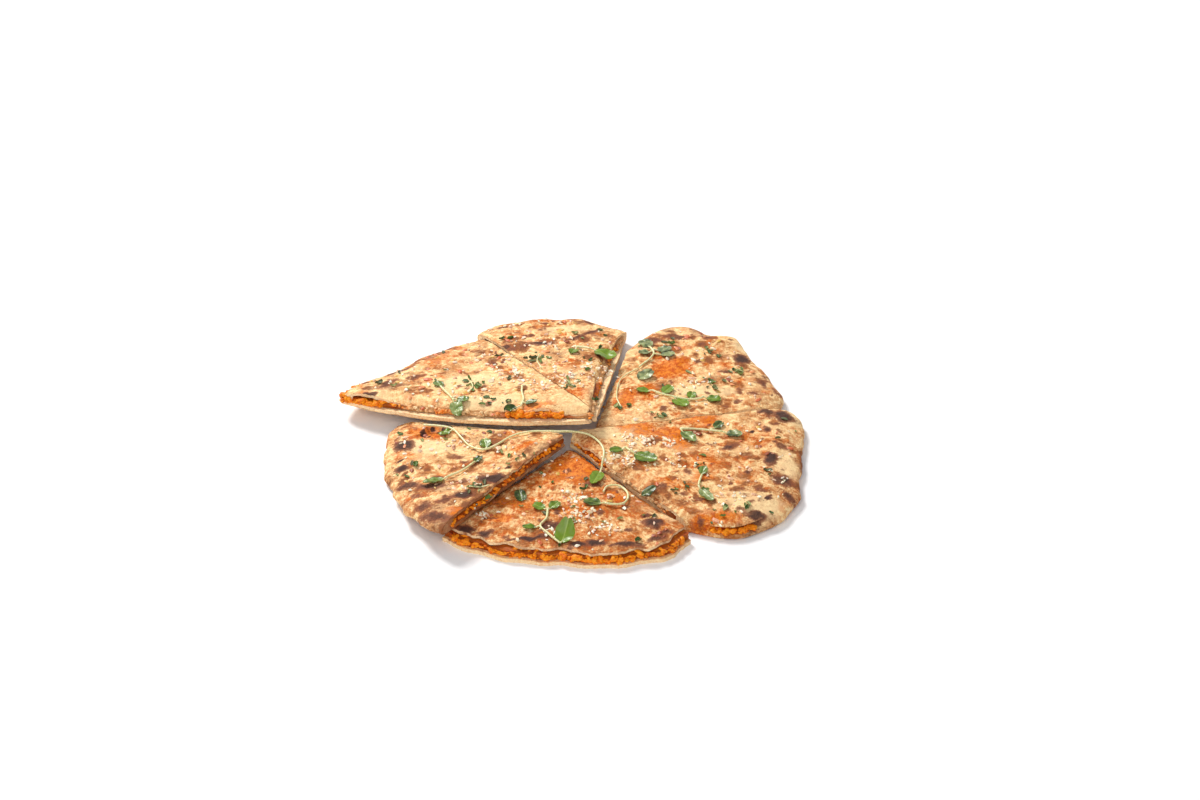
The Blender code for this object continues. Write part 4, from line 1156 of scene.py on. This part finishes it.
def leaf_sheet(leaf):
    """The lower and upper face of one leaf, with its midrib and its ripples."""
    x, y, long, wide, heading, stand = leaf
    heading = math.radians(heading)
    share = np.linspace(-1, 1, LEAF_ROWS)
    s, t = np.meshgrid(share, share, indexing="ij")
    along = s * np.sqrt(1 - t * t / 2)
    across = t * np.sqrt(1 - s * s / 2) * (1 - 0.1 * s) * (1 + 0.03 * np.sin(7 * s + x))
    along = along - 0.09 * np.clip(s, 0, 1) * np.exp(-((t / 0.22) ** 2))
    a, b = 0.5 * long * along, 0.5 * wide * across
    px = x + a * math.cos(heading) - b * math.sin(heading)
    py = y + a * math.sin(heading) + b * math.cos(heading)
    inner = 0.2 * long
    held = max(level_at(x + inner * math.cos(k), y + inner * math.sin(k)) for k in range(7)) - LEAF_SAG
    ground = np.array([[max(level_at(u, v, LEAF_REACH), held) for u, v in zip(*row)] for row in zip(px, py)])
    for _ in range(3):
        ground[1:-1, 1:-1] = 0.5 * ground[1:-1, 1:-1] + 0.125 * (
            ground[:-2, 1:-1] + ground[2:, 1:-1] + ground[1:-1, :-2] + ground[1:-1, 2:]
        )
    rise = stand * (0.5 + 0.5 * along) ** 2 + 0.5 * across**2
    ripple = 0.2 * np.sin(1.7 * a + x) * np.abs(across) + 0.16 * grain(px, py, 1.7, 91)
    vein = np.abs(t)
    ribs = 0.5 + 0.5 * np.cos(22 * (s - 0.55 * vein))
    crease = -0.28 * np.exp(-((across / 0.16) ** 2)) - 0.07 * ribs * (vein > 0.08)
    low = np.stack([px, py, ground + CLEAR + rise + ripple + crease], -1)
    thin = LEAF_THICK * (0.35 + 0.65 * np.clip(1 - np.maximum(np.abs(along), np.abs(across)) ** 4, 0, 1))
    high = low + np.stack([0 * thin, 0 * thin, thin], -1)
    rib = np.maximum(np.exp(-((across / 0.1) ** 2)), 0.45 * ribs**4 * np.clip(1 - vein, 0, 1))
    return low, high, rib


def sprig_mesh(name, sprig):
    """The stem, the stalks and the leaves of one sprig as one mesh."""
    draw = np.random.default_rng(sum(map(ord, name)))
    parts, tints = [], []

    def keep(verts, faces, *shares):
        parts.append((verts, faces))
        tints.append(np.zeros((len(verts), 4)))
        for channel, share in enumerate(shares):
            tints[-1][:, channel] = share

    def keep_leaf(leaf):
        low, high, rib = leaf_sheet(leaf)
        verts, quads, _ = thick_skin(high, low, 2)
        green = sprig["green"] + draw.uniform(-0.2, 0.2)
        ribs = np.concatenate([rib.ravel(), np.full(rib.size, 0.6), np.zeros(len(verts) - 2 * rib.size)])
        keep(verts, quads.tolist(), green, ribs, sprig["wilted"] + draw.uniform(-0.15, 0.15))
        return 0.5 * (low + high)[:, LEAF_ROWS // 2]

    def keep_tube(line, thick):
        keep(*tube(line, thick), sprig["green"], 0.0, 0.6 * sprig["wilted"], 1.0)

    if "alone" in sprig:
        keep_leaf(sprig["alone"])
    else:
        line = stem_line(sprig["stem"])
        keep_tube(line, STEM_RADIUS * (1 + 0.12 * grain(np.arange(len(line)), 0, 3.0, 92)))
    for along, stalk, long, *rest in sprig.get("leaves", ()):
        joint = line[round(along * (len(line) - 1))]
        turn = math.radians(rest[1])
        reach = stalk + STEM_RADIUS + 0.5 * long
        x, y = joint[0] + reach * math.cos(turn), joint[1] + reach * math.sin(turn)
        midrib = keep_leaf((x, y, long, *rest))
        bend = 0.5 * (joint + midrib[0]) + [0, 0, 0.25]
        keep_tube([joint, bend, midrib[0], midrib[4]], STALK_RADIUS * np.array([1, 1, 0.8, 0.3]))
    return *joined(parts), np.concatenate(tints)


def cress_finish():
    """Green leaf with paler ribs, a cream-green stem, and grey where wilted."""
    finish, tree, shader = new_finish("cress", 0.34)
    where = in_millimetres(tree)
    fine = speckle(tree, where, 1.6, 3.0)
    middle = speckle(tree, where, 0.35, 3.0)
    green, rib, wilted, stem = four_painted(tree, "tint")
    grey = blend(tree, between(tree, middle, 0.4, 0.62), srgb(92, 102, 68), srgb(162, 168, 118))
    colour = layered(tree, srgb(36, 58, 6), (
        (-0.65, ((green, 1.0), (middle, 1.3)), 0.1, 0.95, 1.0, srgb(108, 136, 24)),
        (0.0, ((rib, 1.0),), 0.3, 1.0, 0.5, srgb(166, 184, 92)),
        (-0.3, ((wilted, 1.0), (middle, 0.6)), 0.15, 0.75, 0.85, grey),
    ))
    pale = blend(tree, between(tree, fine, 0.35, 0.65), srgb(238, 230, 186), srgb(200, 200, 132))
    colour = blend(tree, stem, colour, pale)
    shader.inputs["Subsurface Weight"].default_value = 0.08
    shader.inputs["Subsurface Scale"].default_value = 0.6 * MM
    cover(tree, shader, colour, sums(tree, 0.0, (fine, 0.6), (middle, 0.4)), 0.12)
    return finish


cress = cress_finish()
for name, sprig in SPRIGS.items():
    verts, faces, tints = sprig_mesh(name, sprig)
    piece = mesh_piece("sprig_" + name, verts, faces)
    paint(piece, "tint", tints)
    piece.data.materials.append(cress)
    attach(piece, "root")
    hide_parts("cress_" + name)

# Bare stems that lost their leaves lie among the sprigs, thin and pale.
BARE_STEMS = (
    ((32.5, 49), (27, 43), (23.7, 36.6), (22.3, 27), (22.3, 18.6), (24.2, 11.4)),
    ((-14.8, 51.5), (-15.8, 44), (-13.5, 34.4)), ((-46.7, 24), (-45.2, 17), (-47, 10.6)),
    ((-34, -65), (-38, -66.5), (-43, -66)),
)
BARE_RADIUS = 0.32
verts, faces = joined(tube(stem_line(line) - [0, 0, 0.3], BARE_RADIUS, 8) for line in BARE_STEMS)
piece = mesh_piece("bare_stems", verts, faces)
paint(piece, "tint", np.tile([0.6, 0.0, 0.1, 1.0], (len(verts), 1)))
piece.data.materials.append(cress)
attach(piece, "root")

# The scattered toppings. Crumbs of white cheese, crushed dried herbs and bits
# of onion and spice were strewn over the bread before and after baking, and
# stick to the crust. Where they lie thick: x, y, how wide, and how many.
CLUSTERS = (
    (18.6, 43, 5, 22), (27.5, -18.6, 6, 26), (36.5, -17.8, 5, 22), (45.5, -17, 6, 22),
    (21.6, -32, 6, 24), (28.6, -33.6, 6, 22), (50.5, -32.7, 6, 16), (-37.5, -76.6, 4, 14),
    (6.6, -75.8, 7, 26), (-5.4, -89.4, 6, 18), (5.6, -61.9, 7, 26), (7.6, -73.9, 7, 22),
    (18.6, -86.4, 7, 18), (96.7, -43.1, 4, 7), (-26, 30, 12, 34), (-8, 22, 12, 40), (-50, -22, 9, 24),
    (60, 30, 12, 16), (-44, -62, 8, 16), (74, -60, 10, 16), (2, 23, 9, 26), (6, 35, 9, 26),
    (-36, 42, 14, 22), (-14, 64, 16, 18), (-52, 10, 12, 12),
)
HERBS = (
    (-15, 47, 6, 9), (-46.7, 17, 6, 6), (1.8, 17.9, 4, 5), (-1.2, 12.1, 4, 4), (13.6, 5.2, 3, 4),
    (66.6, 66, 4, 5), (78.6, 50.2, 3, 3), (82.6, 48.8, 3, 3), (67.5, 39, 4, 4), (23.6, 13.2, 4, 5),
    (41.5, 5.9, 4, 5), (45.6, 4.5, 4, 5), (60.5, -38.1, 4, 5), (80.6, -67.1, 3, 4), (71.6, -70.3, 3, 4),
    (51.5, -55.2, 4, 5), (-69.3, -39.1, 3, 4), (-38, -65.5, 5, 8), (-35, 2, 8, 9), (-25, -48, 8, 7),
)
LOWEST_CRUST = 5.5


def strewn(clusters, loose, seed):
    """Places on the crust, each x, y and its level there, and the random draws."""
    draw = np.random.default_rng(seed)
    wanted = []
    for x, y, wide, count in clusters:
        wanted += [(x + draw.normal(0, 0.5 * wide), y + draw.normal(0, 0.5 * wide)) for _ in range(count)]
    for _ in range(loose):
        name = list(SLICES)[draw.integers(len(SLICES))]
        wanted.append(by_chance(draw, SLICES[name], 0.05, 4, 90, 0.02))
    places = [(x, y, level_at(x, y)) for x, y in wanted]
    return [place for place in places if place[2] > LOWEST_CRUST], draw


def scatter(name, places, draw, form_of, sizes, finish):
    """One mesh with a bit at each place, each with a tint of its own."""
    parts, tints = [], []
    for x, y, z in places:
        size = draw.uniform(*sizes) * draw.uniform(0.7, 1.0)
        verts, faces, low = form_of(draw, size)
        parts.append((verts + [x, y, z + low], faces))
        tints.append(np.full(len(verts), draw.uniform(0, 1)))
    piece = mesh_piece(name, *joined(parts), 35)
    paint(piece, "tint", np.concatenate(tints))
    piece.data.materials.append(finish)
    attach(piece, "root")


def cheese_crumb(draw, size):
    """A small angular crumb."""
    points, faces = chunk(draw, size, 1)
    points = points * draw.uniform(0.8, 1.15, (len(points), 1))
    return points, faces, 0.35 * size


def herb_flake(draw, size):
    """A thin bent scrap of leaf."""
    steps = np.linspace(-1, 1, 5)
    s, t = np.meshgrid(steps, steps, indexing="ij")
    wide = draw.uniform(0.3, 0.65)
    a = size * s * np.sqrt(1 - t * t / 2) * (1 + 0.15 * draw.normal(size=s.shape))
    b = size * wide * t * np.sqrt(1 - s * s / 2) * (1 + 0.15 * draw.normal(size=s.shape))
    rise = draw.uniform(-0.2, 0.5) * size * s**2 + draw.uniform(0.1, 0.5) * size * t**2
    turn = draw.uniform(0, 6.3)
    x, y = a * math.cos(turn) - b * math.sin(turn), a * math.sin(turn) + b * math.cos(turn)
    low = np.stack([x, y, rise], -1)
    verts, quads, _ = thick_skin(low + [0, 0, 0.22], low, 1)
    return verts, quads.tolist(), 0.12 - float(rise.min())


def onion_bit(draw, size):
    """A soft flattened dice of onion, or a fleck of spice."""
    points, faces = chunk(draw, size, 2)
    return points * [1.0, 1.0, 0.45], faces, 0.12 * size


def bit_finish(name, roughness, glow, *stops):
    """Bits whose colour runs through the given ones, from bit to bit."""
    finish, tree, shader = new_finish(name, roughness)
    fine = speckle(tree, in_millimetres(tree), 1.4, 3.0)
    share = sums(tree, -0.12, (painted(tree, "tint"), 1.0), (fine, 0.24))
    colour = srgb(*stops[0])
    for number, stop in enumerate(stops[1:]):
        edge = (number + 1) / len(stops)
        colour = blend(tree, between(tree, share, edge - 0.08, edge + 0.08), colour, srgb(*stop))
    shader.inputs["Subsurface Weight"].default_value = glow
    shader.inputs["Subsurface Scale"].default_value = 0.5 * MM
    cover(tree, shader, colour, fine, 0.2)
    return finish


# Each kind: its clusters, how many lie loose, its seed, its form, its sizes, and
# its finish with its roughness, its glow and its colours.
BITS = {
    "cheese_crumbs": (CLUSTERS, 260, 401, cheese_crumb, (0.5, 1.35), (
        "white_cheese", 0.6, 0.15, (252, 243, 220), (247, 229, 194), (240, 208, 180),
    )),
    "herb_flakes": (HERBS, 80, 402, herb_flake, (0.8, 2.3), (
        "dried_herb", 0.6, 0.0, (62, 88, 30), (98, 124, 52), (148, 154, 92), (84, 88, 50),
    )),
    "onion_bits": ((), 230, 403, onion_bit, (0.6, 1.9), (
        "baked_onion", 0.45, 0.1, (226, 150, 96), (196, 92, 44), (236, 190, 150),
        (150, 66, 36), (214, 170, 80),
    )),
}
for name, (clusters, loose, seed, form_of, sizes, finish) in BITS.items():
    scatter(name, *strewn(clusters, loose, seed), form_of, sizes, bit_finish(*finish))

# The floor, the light and the camera. A plain pale floor, a large soft light
# from the upper left, a wider and weaker one from the front, and the camera
# where the photographer stood.
FLOOR = (250, 250, 252)
FLOOR_WIDE = 4.0
# Where each light stands in metres, its width, its power and its colour.
LIGHTS = {
    "key": ((-0.55, 0.75, 0.85), 0.45, 18.5, (1.0, 0.985, 0.96)),
    "fill": ((-0.25, -1.15, 0.75), 1.2, 9.0, (1.0, 0.99, 0.97)),
}
SKY = 0.42


def plain_finish(name, colour, roughness):
    """One colour with a faint mottle."""
    finish, tree, shader = new_finish(name, roughness)
    mottle = speckle(tree, in_millimetres(tree), 0.02, 2.0)
    darker = tuple(0.97 * c for c in colour[:3]) + (1.0,)
    tree.links.new(blend(tree, mottle, colour, darker), shader.inputs["Base Color"])
    return finish


bpy.ops.mesh.primitive_plane_add(size=FLOOR_WIDE, location=(0, 0, 0))
floor = bpy.context.object
floor.name = "floor"
floor.data.materials.append(plain_finish("pale_floor", srgb(*FLOOR), 0.6))


def soft_light(name, place, size, power, colour):
    """A round soft light that looks at the bread."""
    data = bpy.data.lights.new(name, "AREA")
    data.shape = "DISK"
    data.size = size
    data.energy = power
    data.color = colour
    light = bpy.data.objects.new(name, data)
    light.location = place
    light.rotation_euler = (Vector((0, 0, 0.01)) - Vector(place)).to_track_quat("-Z", "Y").to_euler()
    bpy.context.scene.collection.objects.link(light)


for name, settings in LIGHTS.items():
    soft_light(name, *settings)
world = bpy.data.worlds.new("studio")
world.use_nodes = True
sky = world.node_tree.nodes["Background"]
sky.inputs["Color"].default_value = (1, 1, 1, 1)
sky.inputs["Strength"].default_value = SKY
bpy.context.scene.world = world
bpy.context.scene.view_settings.view_transform = "Standard"

TARGET = Vector((14.356, 12.123, 14.0)) * MM
PITCH = math.radians(31.2195)
ROLL = math.radians(0.8545)
AWAY = 1321.476 * MM
ahead = Vector((0, math.cos(PITCH), -math.sin(PITCH)))
across = Vector((1, 0, 0))
overhead = across.cross(ahead)
right_hand = math.cos(ROLL) * across + math.sin(ROLL) * overhead
upright = -math.sin(ROLL) * across + math.cos(ROLL) * overhead
lens = bpy.data.cameras.new("camera")
lens.lens = 85.0
lens.sensor_width = 36.0
lens.clip_start = 0.05
camera = bpy.data.objects.new("camera", lens)
turned = Matrix((right_hand, upright, -ahead)).transposed().to_4x4()
camera.matrix_world = Matrix.Translation(TARGET - ahead * AWAY) @ turned
bpy.context.scene.collection.objects.link(camera)
bpy.context.scene.camera = camera
